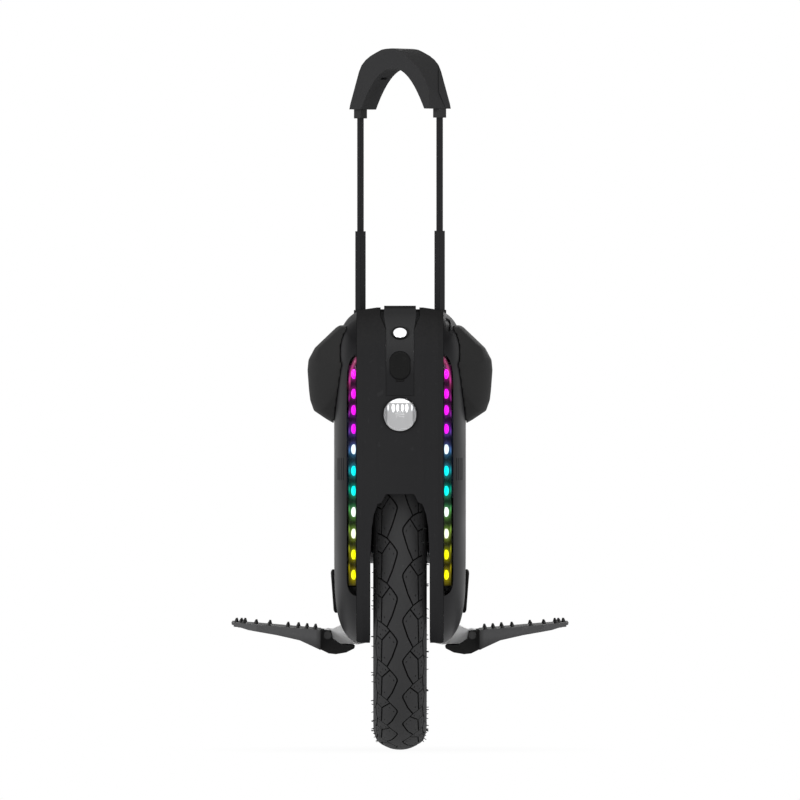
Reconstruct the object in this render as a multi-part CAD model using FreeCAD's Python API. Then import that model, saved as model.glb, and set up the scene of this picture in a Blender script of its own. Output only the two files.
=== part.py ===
import FreeCAD, Part
import os
from math import asin, atan2, cos, degrees, hypot, pi, radians, sin, sqrt

Vec = FreeCAD.Vector
os.makedirs("parts", exist_ok=True)

# Millimetres. X runs across the machine, the front faces -Y, Z is up, the tyre stands on z = 0.

# Fits that mating pieces share.
seam = 0.3
slide_gap = 0.35
running_fit = 0.05
push_fit = 0.03

# Wheel and hub motor.
tyre_radius = 203.0
axle_height = tyre_radius
axle_radius = 9.9
axle_end_radius = 8.0
axle_half_length = 53.0
axle_shoulder = 35.6
rim_bed_radius = tyre_radius - 53.5
rim_flange_radius = tyre_radius - 43.5
bead_radius = tyre_radius - 50.6
bead_half_width = 15.8
drum_radius = 112.5
drum_wall = 11.5
drum_outer_radius = drum_radius + drum_wall
drum_half_width = 21.0
magnet_count = 40
magnet_thickness = 3.2
slot_count = 36
stator_radius = 108.0
stator_yoke_radius = 84.0
stator_half_width = 14.0
tooth_width = 7.0
winding_thickness = 2.6
bearing_radius = 21.0
bearing_half_gap = 17.2
bearing_width = 8.6
cover_thickness = 3.0
cover_screw_circle = 117.0
cover_screw_count = 8
valve_radius = 3.0
valve_offset = 10.5

# Shell: a family of side outlines, each drawn in from the largest by an inset.
crown_over_tyre = 52.5
nose_over_tyre = 9.0
shell_top = 2 * tyre_radius + crown_over_tyre
shell_half_length = tyre_radius + nose_over_tyre
shell_bottom = 107.0
foot_height = 112.6
crown_radius = 1500.0
nose_radius = 66.0
nose_radius_at_side = 36.0
nose_fade = 60.0
tuck_radius = 100.0
tuck_radius_at_side = 36.0
tuck_fade = 128.0
wall = 3.0
shell_half_width = 67.8
side_draw = 112.0
side_fullness = 4.25
panel_half_width = 44.45
panel_creases = (24.0, 38.5, panel_half_width)
flank_sections = 13
cover_half_length = 100.0
well_half_width = 31.0
frame_thickness = 2.4
frame_inset = 5.4
flange_half_length = cover_half_length - seam
mudguard_gap = 2.3
mudguard_radius = tyre_radius + mudguard_gap
mudguard_thickness = 1.9
front_arch_top = axle_height + 62.8
rear_arch_top = axle_height + 1.0

# Control strip: button over charge port over headlight, and the raised spine with its side channels.
button_drop = 27.5
port_drop = 33.2
strip_tail = 31.0
lamp_radius = 17.7
lamp_gap = 1.8
button_height = shell_top - button_drop
port_height = button_height - port_drop
strip_bottom = port_height - strip_tail
lamp_height = strip_bottom - lamp_gap - lamp_radius
strip_half_width = 14.2
strip_wall = 5.5
flare_start = shell_top - 24.5
flare_end = shell_top - 10.0
spine_half_width = 16.4
spine_rise = 1.8
spine_top = shell_top + 3.5
channel_half_width = 20.1
channel_depth = 1.8

# Lights.
lamp_rim = 0.7
lamp_proud = 1.2
led_count = 11
led_offset = 49.9
led_radius = 3.1
led_turn = 24.0
led_standoff = 0.15
lens_thickness = 2.0
lens_top = shell_top - 50.0
lens_bottom = 162.0
led_top = lens_top - 19.5
led_bottom = lens_bottom + 21.0
led_pitch = (led_top - led_bottom) / (led_count - 1)
lens_taper = ((0.0, 1.4), (2.7, 4.1), (5.8, 6.2), (12.0, 8.2), (17.5, 9.2), (29.5, 9.8))
lens_foot_share = 0.55
board_depth = 7.6
board_thickness = 1.2
tail_half_width = 27.0
tail_half_height = 7.0
tail_proud = 1.75

# Button, charge port and the slot in the shoulder.
button_radius = 7.9
bezel_radius = 8.9
bezel_depth = 11.0
port_half_width = 10.4
port_half_height = 15.0
port_thickness = 2.2
port_proud = 0.5
flap_barrel_radius = 1.1
flap_barrel_half = 4.0
flap_pivot_sink = 0.7
socket_radius = 9.0
socket_bore = 8.0
socket_depth = 15.0
vent_count = 5
vent_pitch = 4.0
vent_width = 1.6
vent_setback = 17.0
vent_foot = axle_height + 77.0

# Pads.
ankle_pad_half_length = 50.0
ankle_pad_corner = 12.0

# Trolley.
tube_x = 41.0
tube_y = 26.2
trolley_lean = 36.2
tube_size = (7.1, 9.7)
tube_wall = 1.0
tube_corner = 0.8
tube_bottom = shell_top - 80.5
tube_top = shell_top + 78.9
rod_size = (4.3, 6.8)
rod_bottom = shell_top + 47.5
rod_top = shell_top + 211.5
collar_size = (9.1, 11.6)
collar_height = 9.3
grip_bottom = rod_top - 6.3
collar_bottom = grip_bottom - collar_height
grip_half_depth = 13.4
grip_leg = ((55.4, 0.0), (54.2, 5.3), (43.0, 38.8), (39.7, 45.6))
grip_crown = ((39.7, 45.6), (37.2, 48.7), (33.1, 51.9), (28.5, 55.0), (23.0, 58.1), (15.0, 61.2), (6.3, 62.5))
grip_inner_half = 40.6
grip_apex = 42.1
grip_arch_power = 2.15
guide_wall = 1.1
guide_bottom = tube_bottom - 10.0
guide_top = shell_top - 2.9

# Pedals.
hinge_x = 74.7
hinge_z = 119.2
pin_radius = 4.0
pin_half_length = 52.0
eye_radius = 6.5
hanger_half_width = 34.0
hanger_plate = (36.2, 44.2)
knuckle_half_width = 50.0
pedal_half_length = 97.0
pedal_clip = 26.0
pedal_root = 82.0
stud_radius = 2.4
stud_height = 4.0
stud_depth = 5.0
stud_places = (
    (169.4, 24.0), (164.7, 50.0), (161.1, 72.0), (149.2, 38.0), (135.3, 82.0),
    (116.3, 58.0), (105.7, 86.0), (96.7, 66.0), (88.0, 80.0))


def box(x0, x1, y0, y1, z0, z1):
    return Part.makeBox(x1 - x0, y1 - y0, z1 - z0, Vec(x0, y0, z0))


def rod(radius, start, end):
    axis = end - start
    return Part.makeCylinder(radius, axis.Length, start, axis)


def across(points, y0, y1):
    """A prism along Y from an outline in X and Z."""
    ring = [Vec(x, y0, z) for x, z in points]
    face = Part.Face(Part.makePolygon(ring + ring[:1]))
    return face.extrude(Vec(0, y1 - y0, 0))


def sideways(points, x0, x1):
    """A prism along X from an outline in Y and Z."""
    ring = [Vec(x0, y, z) for y, z in points]
    face = Part.Face(Part.makePolygon(ring + ring[:1]))
    return face.extrude(Vec(x1 - x0, 0, 0))


def bar(size, z0, z1, grow=0.0):
    """An upright bar with rounded corners at the right tube's place, square to the trolley's diagonal."""
    half_u = size[0] / 2 + grow
    half_v = size[1] / 2 + grow
    block = box(-half_u, half_u, -half_v, half_v, z0, z1)
    upright = [e for e in block.Edges if abs(e.tangentAt(e.FirstParameter).z) > 0.9]
    block = block.makeFillet(tube_corner + grow, upright)
    block.rotate(Vec(0, 0, 0), Vec(0, 0, 1), -trolley_lean)
    block.translate(Vec(tube_x, -tube_y, 0))
    return block


def spun(points):
    """A ring about the axle from an outline in X and radius."""
    ring = [Vec(x, 0, axle_height + r) for x, r in points]
    face = Part.Face(Part.makePolygon(ring + ring[:1]))
    return face.revolve(Vec(0, 0, axle_height), Vec(1, 0, 0), 360)


def mirrored_points(points):
    """An outline given for +X, closed by its image in X = 0."""
    return list(points) + [(-x, z) for x, z in reversed(points)]


def flip_x(shape):
    return shape.mirror(Vec(0, 0, 0), Vec(1, 0, 0))


def flip_y(shape):
    return shape.mirror(Vec(0, 0, 0), Vec(0, 1, 0))


def half_turn(shape):
    turned = shape.copy()
    turned.rotate(Vec(0, 0, 0), Vec(0, 0, 1), 180)
    return turned


def about_axle(shape, angle):
    turned = shape.copy()
    turned.rotate(Vec(0, 0, axle_height), Vec(1, 0, 0), angle)
    return turned


def save(name, shape):
    if isinstance(shape, (list, tuple)):
        shape = Part.makeCompound([s for piece in shape for s in piece.Solids])
    else:
        shape = shape.removeSplitter()
    shape.exportStep("parts/" + name + ".step")
    print(name, len(shape.Solids), round(shape.Volume), shape.isValid())


def save_pair(name, shape):
    save(name + "_right", shape)
    if isinstance(shape, (list, tuple)):
        save(name + "_left", [flip_x(s) for s in shape])
    else:
        save(name + "_left", flip_x(shape))


# The side outline: crown, nose arc, upright front and tuck arc, all tangent.
def profile(inset):
    fade = max(0.0, 1.0 - inset / nose_fade)
    nose = nose_radius_at_side + (nose_radius - nose_radius_at_side) * fade ** 2
    half = shell_half_length - inset
    crown = crown_radius - inset
    reach = crown - nose
    crown_z = shell_top - crown_radius
    nose_y = half - nose
    nose_z = crown_z + sqrt(reach ** 2 - nose_y ** 2)
    tuck_left = max(0.0, 1.0 - inset / tuck_fade)
    tuck = tuck_radius_at_side + (tuck_radius - tuck_radius_at_side) * tuck_left ** 2
    tuck_y = half - tuck
    tuck_z = shell_bottom + inset + tuck
    return half, crown, crown_z, nose, nose_y, nose_z, tuck, tuck_y, tuck_z


def outline(x, inset):
    half, crown, crown_z, nose, nose_y, nose_z, tuck, tuck_y, tuck_z = profile(inset)
    lean = atan2(nose_z - crown_z, nose_y)
    join_y = crown * cos(lean)
    join_z = crown_z + crown * sin(lean)
    nose_mid_y = nose_y + nose * cos(lean / 2)
    nose_mid_z = nose_z + nose * sin(lean / 2)
    tuck_mid_y = tuck_y + tuck * cos(pi / 4)
    tuck_mid_z = tuck_z - tuck * sin(pi / 4)
    low = tuck_z - tuck

    def at(y, z):
        return Vec(x, y, z)

    edges = [
        Part.Arc(at(join_y, join_z), at(0, crown_z + crown), at(-join_y, join_z)).toShape(),
        Part.Arc(at(-join_y, join_z), at(-nose_mid_y, nose_mid_z), at(-half, nose_z)).toShape(),
        Part.makeLine(at(-half, nose_z), at(-half, tuck_z)),
        Part.Arc(at(-half, tuck_z), at(-tuck_mid_y, tuck_mid_z), at(-tuck_y, low)).toShape(),
        Part.makeLine(at(-tuck_y, low), at(tuck_y, low)),
        Part.Arc(at(tuck_y, low), at(tuck_mid_y, tuck_mid_z), at(half, tuck_z)).toShape(),
        Part.makeLine(at(half, tuck_z), at(half, nose_z)),
        Part.Arc(at(half, nose_z), at(nose_mid_y, nose_mid_z), at(join_y, join_z)).toShape()]
    return Part.Wire(edges)


def front_frame(x, z, inset):
    """A point of the front surface, its outward normal and its upward tangent."""
    half, crown, crown_z, nose, nose_y, nose_z, tuck, tuck_y, tuck_z = profile(inset)
    tilt = 0.0
    y = half
    if z > nose_z:
        tilt = (z - nose_z) / nose
        y = nose_y + nose * sqrt(1 - tilt ** 2)
    elif z < tuck_z:
        tilt = (z - tuck_z) / tuck
        y = tuck_y + tuck * sqrt(1 - tilt ** 2)
    normal = Vec(0, -sqrt(1 - tilt ** 2), tilt)
    return Vec(x, -y, z), normal, Vec(0, tilt, sqrt(1 - tilt ** 2))


# Across the machine the inset grows as a rounded curve, from nothing in the middle to side_draw.
def inset_at(x):
    return side_draw * (1 - (1 - (x / shell_half_width) ** side_fullness) ** (1 / side_fullness))


def panel_body(grow, extra=0.0):
    """The middle of the shell: flat faces meeting in soft creases along the machine."""
    rings = []
    for x in panel_creases:
        rings.append((x + (extra if x == panel_half_width else 0.0), inset_at(x) - grow))
    rings = [(-x, d) for x, d in reversed(rings)] + rings
    return Part.makeLoft([outline(x, d) for x, d in rings], True, True)


def flank_stations():
    """Points of the rounded curve from the panel seam to the flat side, evenly spaced along it."""
    start = panel_half_width + seam
    power = 2 / side_fullness
    begin = asin((start / shell_half_width) ** (1 / power))
    fine = []
    for k in range(2001):
        angle = begin + (pi / 2 - begin) * k / 2000
        fine.append((shell_half_width * sin(angle) ** power, side_draw * (1 - abs(cos(angle)) ** power)))
    length = [0.0]
    for (x0, d0), (x1, d1) in zip(fine, fine[1:]):
        length.append(length[-1] + hypot(x1 - x0, d1 - d0))
    picks = []
    for k in range(flank_sections):
        goal = length[-1] * k / (flank_sections - 1)
        picks.append(fine[min(range(len(fine)), key=lambda i: abs(length[i] - goal))])
    return picks


def flank_body(grow, count=flank_sections, start=0.0):
    """The domed right side of the shell, drawn in or out by grow along its own normals."""
    rings = []
    for i, (x, d) in enumerate(flank_stations()[:count]):
        across_pull = (x / shell_half_width) ** (side_fullness - 1) / shell_half_width
        inward_pull = (max(side_draw - d, 0.0) / side_draw) ** (side_fullness - 1) / side_draw
        pull = hypot(across_pull, inward_pull)
        shift = start if i == 0 else grow * across_pull / pull
        rings.append(outline(x + shift, d - grow * inward_pull / pull))
    return Part.makeLoft(rings, True, False)


far = 400.0
panel_outer = panel_body(0.0)
panel_shell = panel_outer.cut(panel_body(-wall, 2.0))
flank_outer = flank_body(0.0)
flank_shell = flank_outer.cut(flank_body(-wall, start=-2.0))
flank_skin = flank_body(seam)
above_foot = box(-far, far, -far, far, foot_height, 2 * far)

# Pedal hanger: a cast arm from the axle down through the shell to the hinge eye.
hanger_outline = (
    (hanger_plate[0], axle_height + 28), (hanger_plate[1], axle_height + 28),
    (hanger_plate[1], 142.0), (52.0, 135.5), (58.0, 131.3), (64.0, 127.6), (70.0, 125.3),
    (hinge_x, hinge_z + eye_radius - 1), (hinge_x, hinge_z - eye_radius), (68.0, 112.4),
    (62.0, 110.5), (50.9, 110.1), (43.7, 109.5), (36.7, 110.9), (31.5, 112.1),
    (hanger_plate[0], 118.0))
hinge_line = (Vec(hinge_x, -far, hinge_z), Vec(hinge_x, far, hinge_z))
hanger = across(hanger_outline, -hanger_half_width, hanger_half_width)
hanger = hanger.fuse(rod(
    eye_radius, Vec(hinge_x, -hanger_half_width, hinge_z), Vec(hinge_x, hanger_half_width, hinge_z)))
hanger_side = sideways(
    ((-hanger_half_width, 90), (hanger_half_width, 90), (hanger_half_width, 146), (24, 186),
     (24, axle_height), (17, axle_height + 17), (0, axle_height + 24), (-17, axle_height + 17),
     (-24, axle_height), (-24, 186), (-hanger_half_width, 146)), 20, 100)
hanger = hanger.common(hanger_side)
hanger_room = across(
    [(x + (0.5 if x > 50 else -0.5), z + (0.6 if z > 113 else -0.6)) for x, z in hanger_outline],
    -hanger_half_width - 0.6, hanger_half_width + 0.6)
hanger = hanger.cut([
    rod(axle_end_radius + push_fit, Vec(20, 0, axle_height), Vec(60, 0, axle_height)),
    rod(pin_radius + push_fit, *hinge_line)])
save_pair("hanger", hanger)
pin = rod(pin_radius, Vec(hinge_x, -pin_half_length, hinge_z), Vec(hinge_x, pin_half_length, hinge_z))
save("hinge_pins", [pin, flip_x(pin)])

# Trolley guide sleeves stand beside the wheel, one ahead and one behind the axle.
guide_room = bar(tube_size, guide_bottom - 50, guide_top + 60, slide_gap + guide_wall + seam)
guide = bar(tube_size, guide_bottom, guide_top, slide_gap + guide_wall)
guide = guide.cut(bar(tube_size, guide_bottom - 5, guide_top + 5, slide_gap))
save("trolley_guides", [guide, half_turn(guide)])

# Control strip: it drops into a window of the front panel and rises into the spine of the top.
front_edge = -cover_half_length - seam / 2


def strip_column(grow):
    """The front view of the strip, which flares to the channels' full width at the top."""
    half = strip_half_width + grow
    wide = channel_half_width + grow
    side = ((half, strip_bottom - grow), (half, flare_start), (wide, flare_end), (wide, spine_top))
    return across(mirrored_points(side), -far, front_edge)


channel_layer = panel_body(spine_rise + 1.0).cut(panel_body(-channel_depth))
groove = channel_layer.common(across((
    (strip_half_width, flare_start), (channel_half_width + 1, flare_end), (channel_half_width + 1, spine_top),
    (spine_half_width, spine_top), (spine_half_width, flare_end)), -far, front_edge))
grooves = [groove, flip_x(groove)]
strip = panel_outer.cut(panel_body(-strip_wall)).common(strip_column(0.0)).cut(grooves)
spine_pivot = front_frame(0, flare_start, 0.0)[0]
spine_tilt = degrees(spine_rise / (front_edge - spine_pivot.y))
leaned = panel_outer.copy()
leaned.rotate(spine_pivot, Vec(1, 0, 0), spine_tilt)
spine_end = leaned.cut(panel_body(-1.0)).common(strip_column(0.0)).common(
    box(-spine_half_width, spine_half_width, -far, front_edge, flare_start, 2 * far))
spine_end = spine_end.cut(grooves)
strip = strip.fuse(spine_end)

button_at, button_normal, button_up = front_frame(0, button_height, 0.0)
bezel_outer = rod(bezel_radius, button_at - button_normal * bezel_depth, button_at + button_normal * 1.6)
bezel_bore = rod(
    button_radius + seam, button_at - button_normal * (bezel_depth - 1.5), button_at + button_normal * 9)
save("button_bezel", bezel_outer.cut(bezel_bore))
button = rod(button_radius, button_at - button_normal * 7.5, button_at + button_normal * 2.6)
button = button.makeFillet(0.8, [e for e in button.Edges if e.Length > 40][:1])
dish = Part.makeSphere(40.0, button_at + button_normal * (2.6 + 39.4))
save("power_button", button.cut(dish))

port_at, port_normal, port_up = front_frame(0, port_height, 0.0)


def oval(grow, depth, rise):
    """A pill-shaped block in the plane of the charge port."""
    half = port_half_width + grow
    straight = port_half_height - port_half_width
    foot = port_at - port_normal * depth
    tall = port_normal * (depth + rise)
    block = rod(half, foot + port_up * straight, foot + port_up * straight + tall)
    block = block.fuse(rod(half, foot - port_up * straight, foot - port_up * straight + tall))
    low = foot - port_up * straight
    ring = [low - Vec(half, 0, 0), low + Vec(half, 0, 0)]
    ring += [p + port_up * 2 * straight for p in reversed(ring)]
    face = Part.Face(Part.makePolygon(ring + ring[:1]))
    return block.fuse(face.extrude(tall)).removeSplitter()


pocket_floor = port_proud - port_thickness - seam
cover = panel_body(port_proud).cut(panel_body(port_proud - port_thickness)).common(oval(0.0, 8.0, 8.0))
finger_dip = Part.makeSphere(30.0, port_at + port_up * 4 + port_normal * (30.0 + port_proud - 0.7))
flap_pivot = front_frame(0, port_height - port_half_height - 0.6, 0.0)[0] + Vec(0, flap_pivot_sink, 0)


def flap_barrel(grow):
    """The flap's hinge barrel, along X under its lower end."""
    reach = Vec(flap_barrel_half + grow, 0, 0)
    return rod(flap_barrel_radius + grow, flap_pivot - reach, flap_pivot + reach)


save("port_cover", cover.cut(finger_dip).fuse(flap_barrel(0.0)))
socket_face = port_at + port_normal * (pocket_floor - 1.0)
socket = rod(socket_radius, socket_face - port_normal * socket_depth, socket_face)
socket = socket.cut(rod(socket_bore, socket_face - port_normal * (socket_depth - 3), socket_face))
save("charge_socket", socket)
strip = strip.cut([
    rod(bezel_radius + push_fit, button_at - button_normal * 20, button_at + button_normal * 20),
    panel_body(8.0).cut(panel_body(pocket_floor)).common(oval(seam, 8.0, 12.0)),
    flap_barrel(seam),
    rod(socket_radius + push_fit, port_at - port_normal * 30, port_at)])
save("control_strip", strip)

# Front panel with wheel arch, lamp hole and the window for the strip.
front_arch = across(mirrored_points((
    (well_half_width, 60.0), (well_half_width, front_arch_top - 75.8), (29.8, front_arch_top - 51.8),
    (28.9, front_arch_top - 33.8), (26.8, front_arch_top - 20.8), (23.0, front_arch_top - 10.2),
    (18.6, front_arch_top - 8.2), (14.5, front_arch_top))), -far, 0)
lamp_hole = rod(lamp_radius + seam, Vec(0, -far, lamp_height), Vec(0, -100, lamp_height))
front_panel = panel_shell.common(box(-far, far, -far, front_edge, foot_height, far * 2))
front_panel = front_panel.cut([front_arch, lamp_hole, strip_column(seam)])
save("front_panel", front_panel)

# Rear panel: a lower mudguard edge, the tail light and the end of the spine.
rear_arch = across(((-well_half_width, 60.0), (well_half_width, 60.0), (well_half_width, rear_arch_top - 6),
                    (well_half_width - 6, rear_arch_top), (-well_half_width + 6, rear_arch_top),
                    (-well_half_width, rear_arch_top - 6)), 0, far)


def tail_block(grow, y0, y1):
    end = tail_half_height + grow
    straight = tail_half_width - tail_half_height
    block = box(-straight, straight, y0, y1, lamp_height - end, lamp_height + end)
    for x in (-straight, straight):
        block = block.fuse(rod(end, Vec(x, y0, lamp_height), Vec(x, y1, lamp_height)))
    return block.removeSplitter()


rear_panel = panel_shell.common(box(-far, far, -front_edge, far, foot_height, far * 2))
rear_panel = rear_panel.cut([rear_arch, tail_block(seam, 100, far)] + [flip_y(g) for g in grooves])
rear_panel = rear_panel.fuse(flip_y(spine_end))
save("rear_panel", rear_panel)
tail_lens = tail_block(0.0, shell_half_length - 6, shell_half_length + tail_proud)
tail_lens = tail_lens.cut(tail_block(-1.6, shell_half_length - 10, shell_half_length - 1))
save("tail_light_lens", tail_lens)
tail_board = tail_block(0.0, shell_half_length - 8, shell_half_length - 6.2)
save("tail_light_board", tail_board)

# Top cover between the two panels, carrying the spine.
high = shell_top - 60
spine = panel_body(spine_rise).cut(panel_body(-1.0)).common(
    box(-spine_half_width, spine_half_width, -far, far, high, far * 2))
channel_width = channel_half_width - spine_half_width
top_channels = [channel_layer.common(box(x, x + channel_width, -far, far, high, far * 2))
                for x in (-channel_half_width, spine_half_width)]
top_cover = panel_shell.common(box(-far, far, -far, far, high, far * 2)).fuse(spine).cut(top_channels)
top_cover = top_cover.common(box(-far, far, front_edge + seam, -front_edge - seam, high, far * 2))
top_cover = top_cover.cut([guide_room, half_turn(guide_room)])
save("top_cover", top_cover)

# Side shells: light slot, vents, guide opening and the way out for the hanger.
def light_window(grow, inner):
    """The front view of a light strip: long parallel edges, drawn to a blunt point at both ends."""
    edge = panel_half_width + seam / 2 + grow
    upper = [(edge + width, lens_top + grow - gap) for gap, width in lens_taper]
    foot = lens_bottom - grow
    lower = [(edge + width, foot + lens_foot_share * gap) for gap, width in reversed(lens_taper)]
    return across([(inner, lens_top + grow)] + upper + lower + [(inner, foot)], -far, 0)


vents = []
for i in range(vent_count):
    y = vent_setback - shell_half_length + vent_pitch * i
    vents.append(box(50, 80, y, y + vent_width, vent_foot, vent_foot + 23))
side_shell = flank_shell.common(above_foot).cut(vents + [light_window(seam, 40.0), hanger_room])
shoulder_slot = flank_outer.cut(flank_body(-2.2, start=-1.0)).common(
    box(47.0, 52.0, -far, -120, shell_top - 25.5, shell_top - 11.5))
shell_screw_places = [(y, axle_height + rise) for y in (-66, 66) for rise in (43, 115)]
screw_seats = []
shell_screws = []
side_face = shell_half_width
for y, z in shell_screw_places:
    screw_seats.append(rod(4.4, Vec(side_face - 1.6, y, z), Vec(side_face + 5, y, z)))
    head = rod(4.0, Vec(side_face - 1.6, y, z), Vec(side_face + 0.2, y, z))
    socket_hex = Part.Face(Part.makePolygon([
        Vec(side_face - 1.0, y + 1.7 * cos(radians(60 * k)), z + 1.7 * sin(radians(60 * k)))
        for k in range(7)])).extrude(Vec(4, 0, 0))
    shell_screws.append(head.cut(socket_hex))
side_shell = side_shell.cut(screw_seats)
save("side_shell_right", side_shell.cut([guide_room, shoulder_slot]))
save("side_shell_left", flip_x(side_shell).cut([half_turn(guide_room), half_turn(shoulder_slot)]))
save("shell_screws", shell_screws + [flip_x(s) for s in shell_screws])

# Light strips: smoked lens, bent board and a row of LEDs on each side.
front_half = box(-far, far, -far, -60, 0, far * 2)
strip_ring_count = 5
lens = flank_body(0.0, strip_ring_count).cut(flank_body(-lens_thickness, strip_ring_count, -1.0))
lens = lens.common(light_window(0.0, panel_half_width + seam)).common(front_half)
save_pair("light_lens", lens)
board = flank_body(-board_depth, strip_ring_count)
board = board.cut(flank_body(-board_depth - board_thickness, strip_ring_count, -1.0))
board = board.common(front_half).common(
    box(45.2, 52.6, -far, 0, lens_bottom + 10, lens_top - 10))
save("light_boards", [board, flip_x(board)])
leds = []
board_face = flank_body(-board_depth + led_standoff, strip_ring_count)
for i in range(led_count):
    z = led_top - led_pitch * i
    place, normal, up = front_frame(led_offset, z, inset_at(led_offset))
    ray = Vec(sin(radians(led_turn)), normal.y * cos(radians(led_turn)), normal.z * cos(radians(led_turn)))
    foot = place - ray * (board_depth - 0.7)
    neck = foot + ray * 1.4
    led = rod(led_radius, foot, neck).fuse(Part.makeSphere(led_radius, neck))
    led = led.cut([rod(2 * led_radius, foot, foot - ray * 8), board_face])
    leds.append(max(led.Solids, key=lambda s: s.Volume))
save_pair("light_leds", leds)

# Headlight: bezel ring, clear domed lens, bowl and a bar of LEDs.
face_y = -shell_half_length


def lamp_ring(radius, bore, y0, y1):
    ring = rod(radius, Vec(0, y0, lamp_height), Vec(0, y1, lamp_height))
    return ring.cut(rod(bore, Vec(0, y0 - 1, lamp_height), Vec(0, y1 + 1, lamp_height)))


lens_radius = lamp_radius - lamp_rim
save("headlight_bezel", lamp_ring(lamp_radius, lens_radius, face_y - lamp_proud, face_y + 14))
dome = Part.makeSphere(60.0, Vec(0, face_y - lamp_proud + 0.4 + 60.0, lamp_height))
lamp_lens = rod(lens_radius - push_fit, Vec(0, face_y - 3, lamp_height), Vec(0, face_y + 3.2, lamp_height))
lamp_lens = lamp_lens.common(dome)
lamp_lens = lamp_lens.cut(Part.makeSphere(58.0, Vec(0, face_y + 1.4 + 58.0, lamp_height)))
save("headlight_lens", lamp_lens)
bowl = rod(lens_radius - push_fit, Vec(0, face_y + 3.4, lamp_height), Vec(0, face_y + 14, lamp_height))
bowl = bowl.cut(Part.makeSphere(18.0, Vec(0, face_y - 5.0, lamp_height)))
led_shelf = box(-10.5, 10.5, face_y + 4.6, face_y + 20, lamp_height + 3.0, lamp_height + 11.0)
save("headlight_reflector", bowl.cut(led_shelf))
lamp_leds = box(-10.2, 10.2, face_y + 8.0, face_y + 13.5, lamp_height + 3.3, lamp_height + 10.7)
for k in range(5):
    lamp_leds = lamp_leds.fuse(Part.makeSphere(1.9, Vec(-8 + 4 * k, face_y + 8.0, lamp_height + 7.0)))
save("headlight_leds", lamp_leds)

# Inner frame walls flank the wheel and carry a foot flange; the mudguard spans between them.
wall_sheet = Part.Face(outline(well_half_width, frame_inset)).extrude(Vec(frame_thickness, 0, 0))
flange = box(well_half_width, panel_half_width, -flange_half_length, flange_half_length,
             foot_height, foot_height + 3)
frame = wall_sheet.common(above_foot).fuse(flange)
frame = frame.cut([
    rod(26.0, Vec(0, 0, axle_height), Vec(60, 0, axle_height)), hanger_room])
save_pair("inner_frame", frame)
guard_half = well_half_width - seam
guard_ends = (Vec(-guard_half, 0, axle_height), Vec(guard_half, 0, axle_height))
guard = rod(mudguard_radius + mudguard_thickness, *guard_ends)
guard = guard.cut([
    rod(mudguard_radius, Vec(-far, 0, axle_height), Vec(far, 0, axle_height)),
    box(-far, far, -far, 0, -far, front_arch_top + 1),
    box(-far, far, -1, far, -far, rear_arch_top + 0.5)])
save("mudguard", guard)

# Pads: moulded leg pads above, thin ankle pads below, both shaped to the dome they sit on.
pad_foot = shell_top - 121.1
pad_outline = (
    (48.0, 102.0), (62.0, 101.8), (65.5, 99.6), (87.3, 78.6), (93.8, 66.3), (94.8, 55.6),
    (93.3, 35.2), (92.1, 24.9), (88.3, 13.8), (74.4, 4.4), (66.5, 0.0), (48.0, 0.0))
pad_inner = min(x for x, z in pad_outline)
pad_outer = max(x for x, z in pad_outline)
pad_height = max(z for x, z in pad_outline)
pad_stations = (
    (21.0, 60.0, 56.6, 68.6), (26.0, 64.5, 36.6, 78.6), (33.0, 70.0, 23.1, 88.6),
    (43.0, 77.5, 10.6, 96.6), (54.0, 85.0, 2.1, 100.6), (74.0, 93.6, 0.0, pad_height),
    (100.0, pad_outer, 0.0, pad_height), (152.0, 88.2, 0.0, pad_height), (212.0, 83.8, 1.3, 100.7),
    (272.0, 85.2, 0.7, 101.3), (316.0, 86.7, 0.2, 101.8), (346.0, 76.2, 3.2, 98.8), (368.0, 53.2, 9.4, 92.5))
pad_sections = []
for setback, reach, low, high in pad_stations:
    wide = (reach - pad_inner) / (pad_outer - pad_inner)
    tall = (high - low) / pad_height
    y = setback - shell_half_length
    ring = [Vec(pad_inner + (x - pad_inner) * wide, y, pad_foot + low + z * tall) for x, z in pad_outline]
    pad_sections.append(Part.makePolygon(ring + ring[:1]))


def slice_off(a, b, c, outside):
    """A large block on one side of the plane through three points."""
    normal = (b - a).cross(c - a)
    normal.normalize()
    if normal.dot(outside - a) < 0:
        normal = normal * -1
    u = b - a
    u.normalize()
    v = normal.cross(u)
    ring = [a + u * i + v * j for i, j in ((-90, -90), (90, -90), (90, 90), (-90, 90))]
    return Part.Face(Part.makePolygon(ring + ring[:1])).extrude(normal * 90)


facet_corners = [Vec(x, setback - shell_half_length, pad_foot + z) for x, setback, z in (
    (54.6, 43.0, 95.3), (58.0, 22.0, 65.0), (82.0, 60.0, 75.2), (80.0, -38.0, 132.6))]
pad_facet = slice_off(*facet_corners)
leg_pad = Part.makeLoft(pad_sections, True, False).cut([flank_skin, pad_facet])
leg_pad = max(leg_pad.Solids, key=lambda s: s.Volume)
save_pair("leg_pad", leg_pad)

ankle = across(((56.0, 187.0), (69.8, 187.0), (71.4, 185.6), (71.6, 184.0), (68.7, 145.0), (67.4, 142.4),
                (62.8, 141.2), (50.0, 141.2)), -ankle_pad_half_length, ankle_pad_half_length)
ankle_side = box(40, 90, -ankle_pad_half_length, ankle_pad_half_length, 141.2, 187.0)
ankle_side = ankle_side.makeFillet(
    ankle_pad_corner, [e for e in ankle_side.Edges if abs(e.tangentAt(e.FirstParameter).x) > 0.9])
ankle = ankle.common(ankle_side).cut(flank_skin)
ankle = max(ankle.Solids, key=lambda s: s.Volume)
save_pair("ankle_pad", ankle)

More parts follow.
